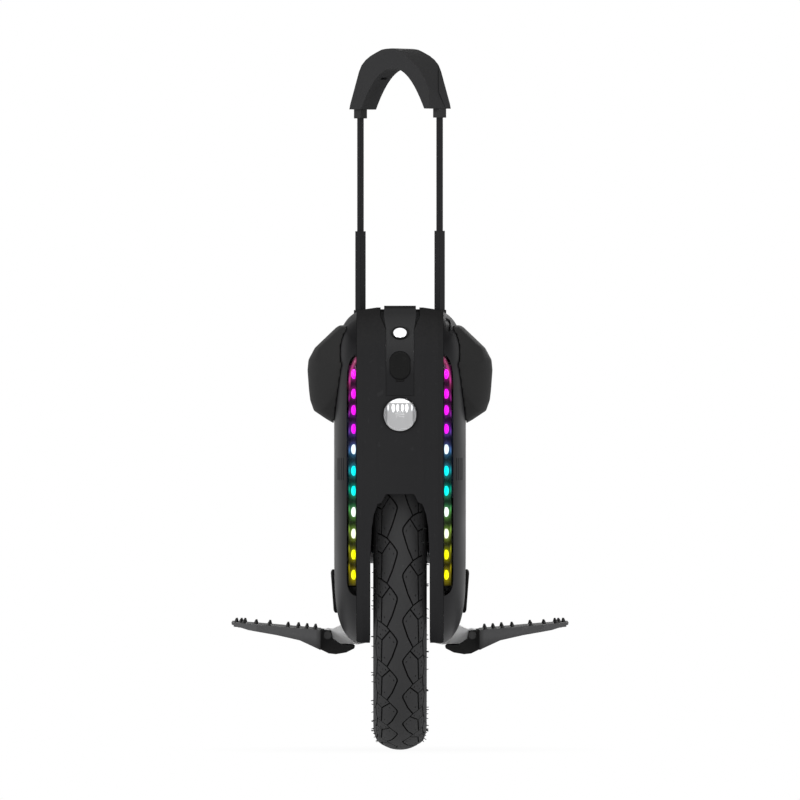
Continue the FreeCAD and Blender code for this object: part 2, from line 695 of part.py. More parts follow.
# Wheel: tyre, tube, rim with drum, magnets, covers, bearings, screws and valve.
tread = [(x, tyre_radius - drop) for x, drop in (
    (0.0, 0.0), (8.0, 0.9), (16.0, 4.0), (22.3, 8.1), (25.1, 12.0), (27.2, 19.0), (27.5, 25.0), (25.7, 33.4),
    (21.0, 39.8), (bead_half_width, 42.8))]
lining = [(x, tyre_radius - drop) for x, drop in (
    (0.0, 5.6), (8.0, 6.5), (14.5, 9.4), (19.4, 14.2), (21.6, 20.0), (22.0, 25.5), (20.4, 32.0), (16.4, 37.6),
    (11.4, 41.0))]


def smooth_ring(points, foot, shrink=0.0):
    """A closed ring about the axle: a smooth curve over the top, straight down to the foot radius."""
    crest = points[0][1] - 25
    curve = [(x - shrink * min(1.0, x / 10.0), r - (shrink if r > crest else 0.0)) for x, r in points]
    curve = [(-x, r) for x, r in reversed(curve[1:])] + curve
    spots = [Vec(x, 0, axle_height + r) for x, r in curve]
    spline = Part.BSplineCurve()
    spline.interpolate(spots)
    right, left = spots[-1], spots[0]
    low = [right, Vec(right.x, 0, axle_height + foot), Vec(left.x, 0, axle_height + foot), left]
    wire = Part.Wire([spline.toShape()] + [Part.makeLine(a, b) for a, b in zip(low, low[1:])])
    return Part.Face(wire).revolve(Vec(0, 0, axle_height), Vec(1, 0, 0), 360)


tyre = smooth_ring(tread, bead_radius).cut(smooth_ring(lining, bead_radius - 2))
save("tyre", tyre)
tube = smooth_ring(lining, bead_radius + 0.6, 0.35).cut(smooth_ring(lining, bead_radius + 2.2, 1.9))
save("inner_tube", tube)
rim_outline = mirrored_points((
    (drum_half_width, drum_radius), (drum_half_width, drum_outer_radius), (9.0, drum_outer_radius + 3.5),
    (7.0, rim_bed_radius - 10.5), (12.0, rim_bed_radius - 4.1), (18.4, rim_bed_radius - 2.9),
    (19.2, rim_flange_radius - 0.8), (18.4, rim_flange_radius), (17.0, rim_flange_radius),
    (16.1, rim_flange_radius - 1.3), (16.0, rim_bed_radius + 1.9), (10.0, rim_bed_radius)))
valve_foot = Vec(valve_offset, 0, axle_height + rim_bed_radius - 19.5)
valve_head = Vec(valve_offset, 0, axle_height + rim_bed_radius + 2.3)
valve = about_axle(rod(valve_radius, valve_foot, valve_head), 150)
valve_cut = rod(valve_radius + push_fit, valve_foot - Vec(0, 0, 2), valve_head + Vec(0, 0, 0.2))
rim = spun(rim_outline).cut(about_axle(valve_cut, 150))
save("rim", rim)
save("valve_stem", valve)
magnets = []
magnet_face = drum_radius - push_fit
for k in range(magnet_count):
    chord = magnet_face * sin(pi / magnet_count) * 0.92
    block = box(-14, 14, -chord, chord, axle_height + magnet_face - magnet_thickness,
                axle_height + magnet_face * cos(pi / magnet_count * 0.93))
    magnets.append(about_axle(block, 360.0 * k / magnet_count))
save("rotor_magnets", magnets)
boss_radius = bearing_radius + 8
seal_radius = 13.0
cover_back = drum_half_width + 0.2
cover_face = cover_back + cover_thickness
bearing_end = bearing_half_gap + bearing_width
motor_cover = spun((
    (cover_back, boss_radius - 0.5), (cover_back, drum_outer_radius - 0.5),
    (cover_face, drum_outer_radius - 2), (cover_face, boss_radius + 4), (bearing_end + 1.9, boss_radius),
    (bearing_end + 1.9, seal_radius), (bearing_end + 0.1, seal_radius),
    (bearing_end + 0.1, bearing_radius + push_fit), (bearing_half_gap, bearing_radius + push_fit),
    (bearing_half_gap, boss_radius - 0.5)))
save_pair("motor_cover", motor_cover)
bearing = spun((
    (bearing_half_gap, axle_radius + running_fit), (bearing_end, axle_radius + running_fit),
    (bearing_end, bearing_radius), (bearing_half_gap, bearing_radius)))
save("wheel_bearings", [bearing, flip_x(bearing)])
cover_screws = []
for k in range(cover_screw_count):
    seat = Vec(cover_face, 0, axle_height + cover_screw_circle)
    head = rod(2.8, seat, seat + Vec(2, 0, 0))
    cover_screws.append(about_axle(head, 360.0 * k / cover_screw_count))
save("cover_screws", cover_screws + [flip_x(s) for s in cover_screws])

# Axle with its stator, held in the hangers by nuts.
axle = rod(axle_radius, Vec(-axle_shoulder, 0, axle_height), Vec(axle_shoulder, 0, axle_height))
axle = axle.fuse(rod(
    axle_end_radius, Vec(-axle_half_length, 0, axle_height), Vec(axle_half_length, 0, axle_height)))
save("axle", axle)
nut_ring = [Vec(hanger_plate[1] + 0.1, 13.8 * cos(radians(60 * k)), axle_height + 13.8 * sin(radians(60 * k)))
            for k in range(7)]
nut = Part.Face(Part.makePolygon(nut_ring)).extrude(Vec(7.5, 0, 0))
nut = nut.cut(rod(axle_end_radius + push_fit, Vec(0, 0, axle_height), Vec(70, 0, axle_height)))
save("axle_nuts", [nut, flip_x(nut)])
teeth = []
for k in range(slot_count):
    middle = 2 * pi * k / slot_count
    root = tooth_width / 2 / stator_yoke_radius
    tip = tooth_width / 2 / stator_radius
    for angle, radius in ((-root, stator_yoke_radius), (-tip, stator_radius),
                          (tip, stator_radius), (root, stator_yoke_radius)):
        teeth.append((radius * sin(middle + angle), axle_height + radius * cos(middle + angle)))
core = sideways(teeth, -stator_half_width, stator_half_width)
core = core.cut(rod(60.0, Vec(-50, 0, axle_height), Vec(50, 0, axle_height)))
spider = rod(60.2, Vec(-4, 0, axle_height), Vec(4, 0, axle_height))
windows = [about_axle(rod(13.0, Vec(-20, 0, axle_height + 40), Vec(20, 0, axle_height + 40)), 60 * k)
           for k in range(6)]
hub = rod(16.0, Vec(-13, 0, axle_height), Vec(13, 0, axle_height))
core = core.fuse(spider.cut(windows).fuse(hub))
core = core.cut(rod(axle_radius + push_fit, Vec(-50, 0, axle_height), Vec(50, 0, axle_height)))
save("stator_core", core)
windings = []
coil_half = tooth_width / 2 + winding_thickness
coil_reach = stator_half_width + winding_thickness
coil = box(-coil_reach, coil_reach, -coil_half, coil_half, axle_height + 86.5, axle_height + 104)
coil = coil.cut(box(-stator_half_width - 0.1, stator_half_width + 0.1, -tooth_width / 2 - 0.1,
                    tooth_width / 2 + 0.1, axle_height + 80, axle_height + 110))
for k in range(slot_count):
    windings.append(about_axle(coil, 360.0 * k / slot_count))
save("stator_windings", windings)

# Power: two packs in each side, controller and heat sink above the mudguard.
pack_back = well_half_width + frame_thickness + seam
pack_face = shell_half_width - 8.8
pack_end = shell_half_length - 64.0
pack_top = shell_top - 106.5
pack_foot = pack_top - 90.0
pack_spans = ((0, pack_end), (-pack_end, -50))
packs = [box(pack_back, pack_face, y0, y1, pack_foot, pack_top) for y0, y1 in pack_spans]
packs = [p.makeFillet(4.0, [e for e in p.Edges if abs(e.tangentAt(e.FirstParameter).x) > 0.9]) for p in packs]
save("battery_right", packs)
save("battery_left", [half_turn(p) for p in packs])
sink_foot = axle_height + mudguard_radius + mudguard_thickness + 11.8
sink_top = sink_foot + 5.4
sink = box(-26, 26, -62, 62, sink_foot, sink_top)
for k in range(11):
    y = -60.0 + 11.6 * k
    nearest = 0.0 if y < 0 < y + 2.4 else min(abs(y), abs(y + 2.4))
    fin_foot = axle_height + sqrt((mudguard_radius + mudguard_thickness) ** 2 - nearest ** 2)
    sink = sink.fuse(box(-26, 26, y, y + 2.4, fin_foot + seam, sink_foot + 1))
save("heat_sink", sink)
board_foot = sink_top + seam
board_top = board_foot + 1.8
controller = box(-28, 28, -84, 84, board_foot, board_top)
parts_on_board = [rod(7.5, Vec(x, y, board_top), Vec(x, y, board_top + 16.5))
                  for x in (-14, 14) for y in (-66, -44)]
parts_on_board += [box(-24, 24, 8 + 14 * k, 13 + 14 * k, board_top, board_top + 11.5) for k in range(5)]
for item in parts_on_board:
    controller = controller.fuse(item)
save("controller_board", controller)

# Trolley: outer tubes, inner rods, collars and the slanted grip.
outer_tube = bar(tube_size, tube_bottom, tube_top)
bore_size = (tube_size[0] - 2 * tube_wall, tube_size[1] - 2 * tube_wall)
outer_tube = outer_tube.cut(bar(bore_size, tube_bottom - 5, tube_top + 5))
save("outer_tube_right", outer_tube)
save("outer_tube_left", half_turn(outer_tube))
inner_rod = bar(rod_size, rod_bottom, rod_top)
save("inner_rod_right", inner_rod)
save("inner_rod_left", half_turn(inner_rod))
rod_room = bar(rod_size, rod_bottom, rod_top + 0.2, push_fit)
collar = bar(collar_size, collar_bottom, grip_bottom - 0.1).cut(rod_room)
save("rod_collars", [collar, half_turn(collar)])

along = Vec(cos(radians(trolley_lean)), -sin(radians(trolley_lean)), 0)
through = Vec(sin(radians(trolley_lean)), cos(radians(trolley_lean)), 0)


def grip_spot(u, v, z):
    """A point of the grip: u along the tubes' diagonal, v through the grip to its back, z over its foot."""
    return along * u + through * v + Vec(0, 0, grip_bottom + z)


def grip_curve(points):
    """A smooth edge of the grip's front face, and its two ends."""
    spots = [grip_spot(u, -grip_half_depth, z) for u, z in points]
    spline = Part.BSplineCurve()
    spline.interpolate(spots)
    return spline.toShape()


def grip_lines(points):
    spots = [grip_spot(u, -grip_half_depth, z) for u, z in points]
    return [Part.makeLine(a, b) for a, b in zip(spots, spots[1:])]


arch = []
for k in range(-8, 9):
    u = grip_inner_half * k / 8
    arch.append((u, grip_apex * (1 - abs(k / 8) ** grip_arch_power)))
crown_line = list(grip_crown) + [(-u, z) for u, z in reversed(grip_crown)]
left_leg = [(-u, z) for u, z in reversed(grip_leg)]
edges = grip_lines(grip_leg) + [grip_curve(crown_line)] + grip_lines(left_leg)
edges += grip_lines([left_leg[-1], arch[0]]) + [grip_curve(arch)] + grip_lines([arch[-1], grip_leg[0]])
grip = Part.Face(Part.Wire(edges)).extrude(through * 2 * grip_half_depth)
# A broad bevel turns over the right shoulder, from a crease on the front to the back edge and down
# the leg; the far shoulder carries its twin.
bevel_stations = (
    ((0.0, 63.3), (0.0, grip_half_depth, 63.3), (0.0, 0.0, 136.3)),
    ((9.8, 60.3), (12.0, grip_half_depth, 62.3), (25.0, -20.0, 136.3)),
    ((18.0, 54.5), (20.0, grip_half_depth, 59.0), (45.0, -30.0, 126.3)),
    ((27.8, 46.9), (28.5, grip_half_depth, 55.0), (70.0, -40.0, 106.3)),
    ((34.7, 40.6), (34.5, grip_half_depth, 50.9), (90.0, -45.0, 86.3)),
    ((40.7, 31.8), (39.7, grip_half_depth, 45.6), (105.0, -50.0, 61.3)),
    ((46.5, 20.7), (49.4, 0.0, 17.3), (115.0, -55.0, 26.3)),
    ((47.3, -0.7), (55.4, 5.4, -0.7), (115.0, -55.0, -0.7)))
bevel_rings = []
for (crease_u, crease_z), back, outside in bevel_stations:
    ring = [grip_spot(crease_u, -grip_half_depth, crease_z), grip_spot(*back), grip_spot(*outside)]
    bevel_rings.append(Part.makePolygon(ring + ring[:1]))
bevel = Part.makeLoft(bevel_rings, True, True)
latch_slot = Part.Face(Part.makePolygon([grip_spot(-30.0, v, z) for v, z in (
    (-4.2, 30.8), (6.3, 30.8), (6.3, 32.9), (-4.2, 32.9), (-4.2, 30.8))])).extrude(along * 20)
grip = grip.cut([bevel, half_turn(bevel), latch_slot])
grip = grip.cut([rod_room, half_turn(rod_room)])
grip = max(grip.Solids, key=lambda s: s.Volume)
save("handle_grip", grip)

# Pedals: a tapered plate, a hinge block with a stop tail, and conical studs.
pedal_outline = (
    (71.1, 124.2), (174.0, 132.9), (173.6, 130.4), (156.7, 125.1), (127.0, 119.9), (103.2, 114.5),
    (85.4, 106.2), (73.6, 100.4), (66.3, 99.6), (55.6, 101.4), (47.3, 105.6), (46.7, 107.3),
    (48.5, 109.0), (60.4, 109.6), (69.4, 115.7))
plate = across(pedal_outline, -pedal_half_length, pedal_half_length)
plate = plate.common(box(pedal_root, far, -far, far, 0, far))
footprint = box(0, 174.0, -pedal_half_length, pedal_half_length, 60, 160)
corner_edges = [e for e in footprint.Edges
                if abs(e.tangentAt(e.FirstParameter).z) > 0.9 and e.CenterOfMass.x > 100]
plate = plate.common(footprint.makeChamfer(pedal_clip, corner_edges))
block = across(pedal_outline, -knuckle_half_width, knuckle_half_width)
pedal = plate.fuse(block)
slot = hanger_half_width + 0.6
pedal = pedal.cut([
    rod(9.0, Vec(hinge_x, -slot, hinge_z), Vec(hinge_x, slot, hinge_z)),
    box(40, 77, -slot, slot, 109.7, 150),
    rod(pin_radius + running_fit, *hinge_line)])
slope = (132.9 - 124.2) / (174.0 - 71.1)
top_normal = Vec(-slope, 0, 1)
top_normal.normalize()
studs = []
holes = []
for x, y_place in stud_places:
    for y in (-y_place, y_place):
        seat = Vec(x, y, 124.2 + slope * (x - 71.1))
        holes.append(rod(stud_radius + push_fit, seat - top_normal * stud_depth, seat + top_normal * 5))
        shank = rod(stud_radius, seat - top_normal * stud_depth, seat)
        tip = Part.makeCone(stud_radius, 0.9, stud_height, seat, top_normal)
        studs.append(shank.fuse(tip).removeSplitter())
save_pair("pedal", pedal.cut(holes))
save_pair("pedal_studs", studs)
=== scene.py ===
from math import cos, pi, radians, sin

import bmesh
import bpy
import numpy as np
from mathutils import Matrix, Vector
from mathutils.geometry import delaunay_2d_cdt


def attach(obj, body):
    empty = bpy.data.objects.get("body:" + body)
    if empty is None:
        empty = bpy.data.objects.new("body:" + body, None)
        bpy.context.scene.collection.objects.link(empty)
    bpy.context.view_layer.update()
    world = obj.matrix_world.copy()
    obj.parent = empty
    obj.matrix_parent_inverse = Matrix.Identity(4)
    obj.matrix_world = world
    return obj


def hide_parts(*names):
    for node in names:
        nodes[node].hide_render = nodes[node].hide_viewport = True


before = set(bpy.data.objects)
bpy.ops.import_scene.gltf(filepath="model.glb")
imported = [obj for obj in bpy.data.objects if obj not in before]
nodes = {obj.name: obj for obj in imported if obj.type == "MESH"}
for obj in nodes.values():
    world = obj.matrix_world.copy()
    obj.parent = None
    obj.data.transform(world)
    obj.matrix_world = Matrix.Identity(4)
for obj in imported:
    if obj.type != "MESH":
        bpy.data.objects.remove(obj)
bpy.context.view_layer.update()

scene = bpy.context.scene

# Studio: a long lens looks level at the front of the machine, from straight ahead. Floor and
# backdrop are plain white, and soft light panels hang above it and stand around it.
view_width = 0.8288
view_height = 0.3623
lens_mm = 800.0
sensor_mm = 36.0
camera_data = bpy.data.cameras.new("front_camera")
camera_data.lens = lens_mm
camera_data.sensor_width = sensor_mm
camera_data.clip_end = 100.0
camera = bpy.data.objects.new("front_camera", camera_data)
camera.location = (0.0, -view_width * lens_mm / sensor_mm, view_height)
camera.rotation_euler = (pi / 2, 0.0, 0.0)
scene.collection.objects.link(camera)
scene.camera = camera
scene.view_settings.view_transform = "Standard"


def add(tree, kind, inputs=None, **properties):
    """One node: properties first, then sockets, each given a value or the socket that feeds it."""
    node = tree.nodes.new(kind)
    for key, value in properties.items():
        setattr(node, key, value)
    for key, value in (inputs or {}).items():
        if isinstance(value, bpy.types.NodeSocket):
            tree.links.new(value, node.inputs[key])
        else:
            node.inputs[key].default_value = value
    return node


def calc(tree, kind, *values, clamp=False):
    """The result of one sum on values or sockets."""
    return add(tree, "ShaderNodeMath", dict(enumerate(values)), operation=kind, use_clamp=clamp).outputs[0]


def scaled(tree, value, low, high, start=0.0, end=1.0, curve="LINEAR"):
    """Where a value stands between two marks, given from 0 to 1 or from start to end."""
    marks = {"Value": value, "From Min": low, "From Max": high, "To Min": start, "To Max": end}
    return add(tree, "ShaderNodeMapRange", marks, interpolation_type=curve).outputs[0]


def object_spot(tree):
    """The point on the object itself that is being shaded."""
    return add(tree, "ShaderNodeTexCoord").outputs["Object"]


def axes(tree, vector):
    """The X, Y and Z of a vector."""
    return add(tree, "ShaderNodeSeparateXYZ", {0: vector}).outputs


def in_view(tree):
    """1 for what is seen straight, in a reflection or through a lens, and 0 for what only gives light."""
    rays = add(tree, "ShaderNodeLightPath").outputs
    seen = calc(tree, "ADD", rays["Is Camera Ray"], rays["Is Glossy Ray"], clamp=True)
    return calc(tree, "ADD", seen, rays["Is Transmission Ray"], clamp=True)


room_level = 0.50
ceiling_level = 0.12
pure_white = (1.0, 1.0, 1.0, 1.0)
world = bpy.data.worlds.new("studio")
world.use_nodes = True
world.node_tree.nodes.clear()
scene.world = world
sky = world.node_tree
aim = axes(sky, add(sky, "ShaderNodeTexCoord").outputs["Generated"])
dome = scaled(sky, aim["Z"], 0.1, 0.9, room_level, ceiling_level)
room = add(sky, "ShaderNodeBackground", {"Color": pure_white, "Strength": dome})
backdrop = add(sky, "ShaderNodeBackground", {"Color": pure_white, "Strength": 1.0})
sky_mix = add(sky, "ShaderNodeMixShader", {0: in_view(sky), 1: room.outputs[0], 2: backdrop.outputs[0]})
add(sky, "ShaderNodeOutputWorld", {"Surface": sky_mix.outputs[0]})

floor_half = 4.0
floor_bounce = 0.45
shadow_core = 0.04
shadow_end = 0.24
shadow_level = 0.95
floor_mesh = bpy.data.meshes.new("floor")
floor_mesh.from_pydata([(-floor_half, -floor_half, 0), (floor_half, -floor_half, 0),
                        (floor_half, floor_half, 0), (-floor_half, floor_half, 0)], [], [(0, 1, 2, 3)])
floor = bpy.data.objects.new("floor", floor_mesh)
scene.collection.objects.link(floor)
floor_paint = bpy.data.materials.new("white_floor")
floor_paint.use_nodes = True
tree = floor_paint.node_tree
tree.nodes.clear()
away = add(tree, "ShaderNodeVectorMath", {0: object_spot(tree)}, operation="LENGTH").outputs["Value"]
fade = scaled(tree, away, shadow_core, shadow_end, shadow_level, 1.0)
share = calc(tree, "MAXIMUM", calc(tree, "MULTIPLY", in_view(tree), fade), floor_bounce)
mat_white = add(tree, "ShaderNodeBsdfDiffuse", {"Color": (0.95, 0.95, 0.95, 1.0)})
lit_white = add(tree, "ShaderNodeEmission", {"Color": pure_white, "Strength": 1.0})
floor_mix = add(tree, "ShaderNodeMixShader", {0: share, 1: mat_white.outputs[0], 2: lit_white.outputs[0]})
add(tree, "ShaderNodeOutputMaterial", {"Surface": floor_mix.outputs[0]})
floor_mesh.materials.append(floor_paint)

panels_aim = Vector((0.0, 0.0, 0.3))
for label, place, watts, side in (
        ("panel_above", (0.0, -0.5, 2.7), 4.0, 1.8), ("panel_left", (-2.4, -1.7, 1.3), 42.0, 1.5),
        ("panel_right", (2.4, -1.7, 1.3), 26.0, 1.5), ("panel_behind", (0.6, 2.7, 1.7), 22.0, 1.6),
        ("panel_front", (0.0, -4.2, 0.35), 24.0, 1.2)):
    lamp = bpy.data.lights.new(label, "AREA")
    lamp.energy = watts
    lamp.size = side
    panel = bpy.data.objects.new(label, lamp)
    panel.location = place
    panel.rotation_euler = (panels_aim - Vector(place)).to_track_quat("-Z", "Y").to_euler()
    scene.collection.objects.link(panel)

# Shell: two domed side shells, the front and rear panels and the top cover, moulded in black
# plastic with a fine spark grain, screwed to the inner frames with thin seams between them.
scuff_gain = 2.2
dust_colour = (0.35, 0.33, 0.30)


def new_group(label, takes, gives):
    """An empty shader group with float sockets; returns it with its inner start and end sockets."""
    group = bpy.data.node_groups.new(label, "ShaderNodeTree")
    for key, value in takes:
        made = group.interface.new_socket(key, in_out="INPUT", socket_type="NodeSocketFloat")
        made.default_value = value
    for key in gives:
        group.interface.new_socket(key, in_out="OUTPUT", socket_type="NodeSocketFloat")
    return group, group.nodes.new("NodeGroupInput").outputs, group.nodes.new("NodeGroupOutput").inputs


moulded_grain, takes, gives = new_group("moulded_grain", [("Scale", 900.0)], ["Height"])
spot = object_spot(moulded_grain)
pebbles = add(moulded_grain, "ShaderNodeTexVoronoi", {"Vector": spot, "Scale": takes["Scale"]})
fuzz = add(moulded_grain, "ShaderNodeTexNoise", {"Vector": spot, "Scale": takes["Scale"], "Detail": 3.0})
relief = calc(moulded_grain, "ADD", pebbles.outputs["Distance"], fuzz.outputs[0])
moulded_grain.links.new(relief, gives["Height"])

handling, takes, gives = new_group("handling", [("Scale", 14.0), ("Scratches", 0.4)], ["Sheen", "Scuff"])
spot = object_spot(handling)
patches = add(handling, "ShaderNodeTexNoise", {"Vector": spot, "Scale": takes["Scale"], "Detail": 4.0})
drawn = add(handling, "ShaderNodeMapping",
            {"Vector": spot, "Rotation": (0.5, 0.3, 0.2), "Scale": (1.0, 9.0, 1.0)})
threads = add(handling, "ShaderNodeTexNoise", {"Vector": drawn.outputs[0], "Scale": 130.0, "Detail": 2.0})
rare = scaled(handling, threads.outputs[0], 0.66, 0.74)
scuffs = calc(handling, "MULTIPLY", calc(handling, "MULTIPLY", rare, patches.outputs[0]), takes["Scratches"])
handling.links.new(patches.outputs[0], gives["Sheen"])
handling.links.new(scuffs, gives["Scuff"])

settled_dust, takes, gives = new_group("settled_dust", [("Amount", 0.05)], ["Mask"])
facing = axes(settled_dust, add(settled_dust, "ShaderNodeNewGeometry").outputs["Normal"])
upward = scaled(settled_dust, facing["Z"], 0.35, 1.0)
motes = add(settled_dust, "ShaderNodeTexNoise",
            {"Vector": object_spot(settled_dust), "Scale": 260.0, "Detail": 5.0})
lying = calc(settled_dust, "MULTIPLY", upward, motes.outputs[0])
settled_dust.links.new(calc(settled_dust, "MULTIPLY", lying, takes["Amount"]), gives["Mask"])


def blend(tree, share, first, second):
    """Two colours mixed by a share; each is a socket or three values."""
    first, second = [c if isinstance(c, bpy.types.NodeSocket) else (*c, 1.0) for c in (first, second)]
    return add(tree, "ShaderNodeMix", {0: share, 6: first, 7: second}, data_type="RGBA").outputs[2]


def finish(name, dark, light, rough, grain=1000.0, depth=0.00003, specular=0.3, metal=0.0,
           dust=0.04, scratches=0.35):
    """A moulded, cast or painted surface: two close tones, worn sheen, fine relief and a little dust."""
    made = bpy.data.materials.new(name)
    made.use_nodes = True
    tree = made.node_tree
    shader = tree.nodes["Principled BSDF"]
    shader.inputs["Specular IOR Level"].default_value = specular
    shader.inputs["Metallic"].default_value = metal
    marks = add(tree, "ShaderNodeGroup", {"Scratches": scratches}, node_tree=handling).outputs
    tone = blend(tree, marks["Sheen"], dark, light)
    scored = blend(tree, marks["Scuff"], tone, [min(1.0, scuff_gain * c) for c in light])
    powder = add(tree, "ShaderNodeGroup", {"Amount": dust}, node_tree=settled_dust)
    dusty = blend(tree, powder.outputs["Mask"], scored, dust_colour)
    tree.links.new(dusty, shader.inputs["Base Color"])
    gloss = scaled(tree, marks["Sheen"], 0.3, 0.7, *rough)
    tree.links.new(gloss, shader.inputs["Roughness"])
    height = add(tree, "ShaderNodeGroup", {"Scale": grain}, node_tree=moulded_grain).outputs["Height"]
    bump = add(tree, "ShaderNodeBump", {"Height": height, "Strength": 0.5, "Distance": depth})
    tree.links.new(bump.outputs[0], shader.inputs["Normal"])
    return made


def dress(material, *names):
    """Gives CAD nodes their finish."""
    for name in names:
        for holder in nodes[name].material_slots:
            holder.material = material


def toned(material, mask, tone):
    """Lays a second tone over a finish wherever a mask is 1."""
    tree = material.node_tree
    base = tree.nodes["Principled BSDF"].inputs["Base Color"]
    tree.links.new(blend(tree, mask, base.links[0].from_socket, tone), base)


def facing_up(material, low, high):
    """A mask that grows as a surface turns to face upwards."""
    tree = material.node_tree
    facing = axes(tree, add(tree, "ShaderNodeTexCoord").outputs["Normal"])
    return scaled(tree, facing["Z"], low, high)


shell_sheen = 0.17
dusty_sheen = 0.01
shell_black = finish("shell_black", (0.009, 0.009, 0.010), (0.012, 0.012, 0.013), (0.46, 0.56),
                     specular=shell_sheen)
tree = shell_black.node_tree
dulled = scaled(tree, facing_up(shell_black, 0.05, 0.55), 0.0, 1.0, shell_sheen, dusty_sheen)
tree.links.new(dulled, tree.nodes["Principled BSDF"].inputs["Specular IOR Level"])
panel_black = finish("panel_black", (0.022, 0.022, 0.023), (0.026, 0.026, 0.027), (0.70, 0.78),
                     specular=0.0)
strip_black = finish("strip_black", (0.019, 0.019, 0.020), (0.023, 0.023, 0.024), (0.66, 0.75),
                     specular=0.0)
# Painted highlight: the strip's colour is painted lighter where it turns to face upwards over the nose.
toned(strip_black, facing_up(strip_black, 0.05, 0.70), (0.050, 0.050, 0.051))
frame_black = finish("frame_black", (0.006, 0.006, 0.006), (0.010, 0.010, 0.010), (0.60, 0.72),
                     specular=0.12)
screw_black = finish("screw_black", (0.03, 0.03, 0.03), (0.06, 0.06, 0.06), (0.3, 0.45),
                     metal=0.8, specular=0.5)
dress(shell_black, "side_shell_left", "side_shell_right")
dress(panel_black, "front_panel", "rear_panel", "top_cover")
dress(strip_black, "control_strip")
dress(frame_black, "inner_frame_left", "inner_frame_right", "mudguard", "trolley_guides")
dress(screw_black, "shell_screws", "charge_socket")

# Light strips: eleven domed LEDs on a dark board behind a smoked, crescent-shaped lens on each
# side. The colour runs down the strip from violet over white and blue-green to yellow. The board
# is no lamp but glows with painted light round the LEDs and with painted reflections of them, and
# the lens carries a painted glow along the edge of its tip for the first LED's light that it catches.
strip_top = 0.400
strip_foot = 0.170
led_aside = 47.9
led_turn = radians(24.0)
led_stretch = 2.5
led_half_pitch = 0.0102
led_heights = (388.9, 368.7, 352.0, 332.7, 311.8, 289.8, 269.3, 247.6, 225.4, 203.9, 183.2)
led_seats = ((183.2, -196.1), (203.9, -199.1), (210.0, -199.3), (384.0, -199.3), (388.9, -199.1))
led_line = ((0.0, -2.2), (2.0, -2.2), (2.0, -0.4), (1.9, 0.6), (1.7, 1.5), (1.3, 2.1), (0.7, 2.5),
            (0.0, 2.65))
led_colours = (
    (1.0, 0.005, 0.95), (1.0, 0.005, 0.95), (1.0, 0.005, 0.97), (0.95, 0.005, 1.0), (0.80, 1.0, 1.0),
    (0.0, 1.0, 1.0), (0.0, 1.0, 0.90), (0.90, 1.0, 0.90), (0.95, 1.0, 0.70), (1.0, 0.98, 0.0),
    (1.0, 0.95, 0.0))
led_colour_lead = 8.0
led_strength = (1.5, 3.0)
# Painted light on the board round the LEDs: its even level, then its colours down the strip.
board_painted_level = 0.035
board_painted_colours = (
    (0.95, 0.04, 0.50), (0.90, 0.03, 0.60), (0.75, 0.03, 0.80), (0.40, 0.05, 0.95), (0.15, 0.40, 1.0),
    (0.0, 0.85, 0.95), (0.0, 0.95, 0.55), (0.25, 1.0, 0.20), (0.65, 1.0, 0.10), (0.95, 0.90, 0.0),
    (1.0, 0.80, 0.0))


def down_strip(z):
    """How far down the strip a height in mm lies, from 0 to 1."""
    return (strip_top - z / 1000) / (strip_top - strip_foot)


def apart(tree, x, z):
    """How far a point lies from a centre, from its two offsets."""
    offset = add(tree, "ShaderNodeCombineXYZ", {"X": x, "Z": z}).outputs[0]
    return add(tree, "ShaderNodeVectorMath", {0: offset}, operation="LENGTH").outputs["Value"]


led_halo, takes, gives = new_group("led_halo", [
    ("Aside", 0.0477), ("Top", strip_top), ("Foot", strip_foot), ("Squash", 1.0), ("Reach", 0.009)],
    ["Glow"])
spot = axes(led_halo, object_spot(led_halo))
beside = calc(led_halo, "SUBTRACT", calc(led_halo, "ABSOLUTE", spot["X"]), takes["Aside"])
rows = add(led_halo, "ShaderNodeValToRGB", {0: scaled(led_halo, spot["Z"], takes["Top"], takes["Foot"])})
rows.color_ramp.elements[0].color = pure_white
rows.color_ramp.elements[1].color = pure_white
for z in led_heights:
    rows.color_ramp.elements.new(down_strip(z)).color = (0.0, 0.0, 0.0, 1.0)
for above, below in zip(led_heights, led_heights[1:]):
    rows.color_ramp.elements.new(down_strip((above + below) / 2)).color = pure_white
step = calc(led_halo, "MULTIPLY", rows.outputs[0], led_half_pitch)
step = calc(led_halo, "MULTIPLY", step, takes["Squash"])
halo = scaled(led_halo, apart(led_halo, beside, step), takes["Reach"], 0.0, curve="SMOOTHSTEP")
led_halo.links.new(halo, gives["Glow"])


def strip_light(name, colours, base, change):
    """A surface lit in the colours that run down the strip; returns it with its tree and shader."""
    made = bpy.data.materials.new(name)
    made.use_nodes = True
    tree = made.node_tree
    shader = tree.nodes["Principled BSDF"]
    run = scaled(tree, axes(tree, object_spot(tree))["Z"], strip_top, strip_foot)
    ramp = add(tree, "ShaderNodeValToRGB", {0: run})
    stops = ramp.color_ramp.elements
    ramp.color_ramp.interpolation = change
    lead = led_colour_lead if change == "CONSTANT" else 0.0
    for k, colour in enumerate(colours):
        stop = stops.new(down_strip(led_heights[k] + lead)) if k else stops[0]
        stop.color = (*colour, 1.0)
    stops.remove(stops[-1])
    tree.links.new(ramp.outputs[0], shader.inputs["Emission Color"])
    shader.inputs["Base Color"].default_value = base
    shader.inputs["Roughness"].default_value = 0.3
    return made, tree, shader


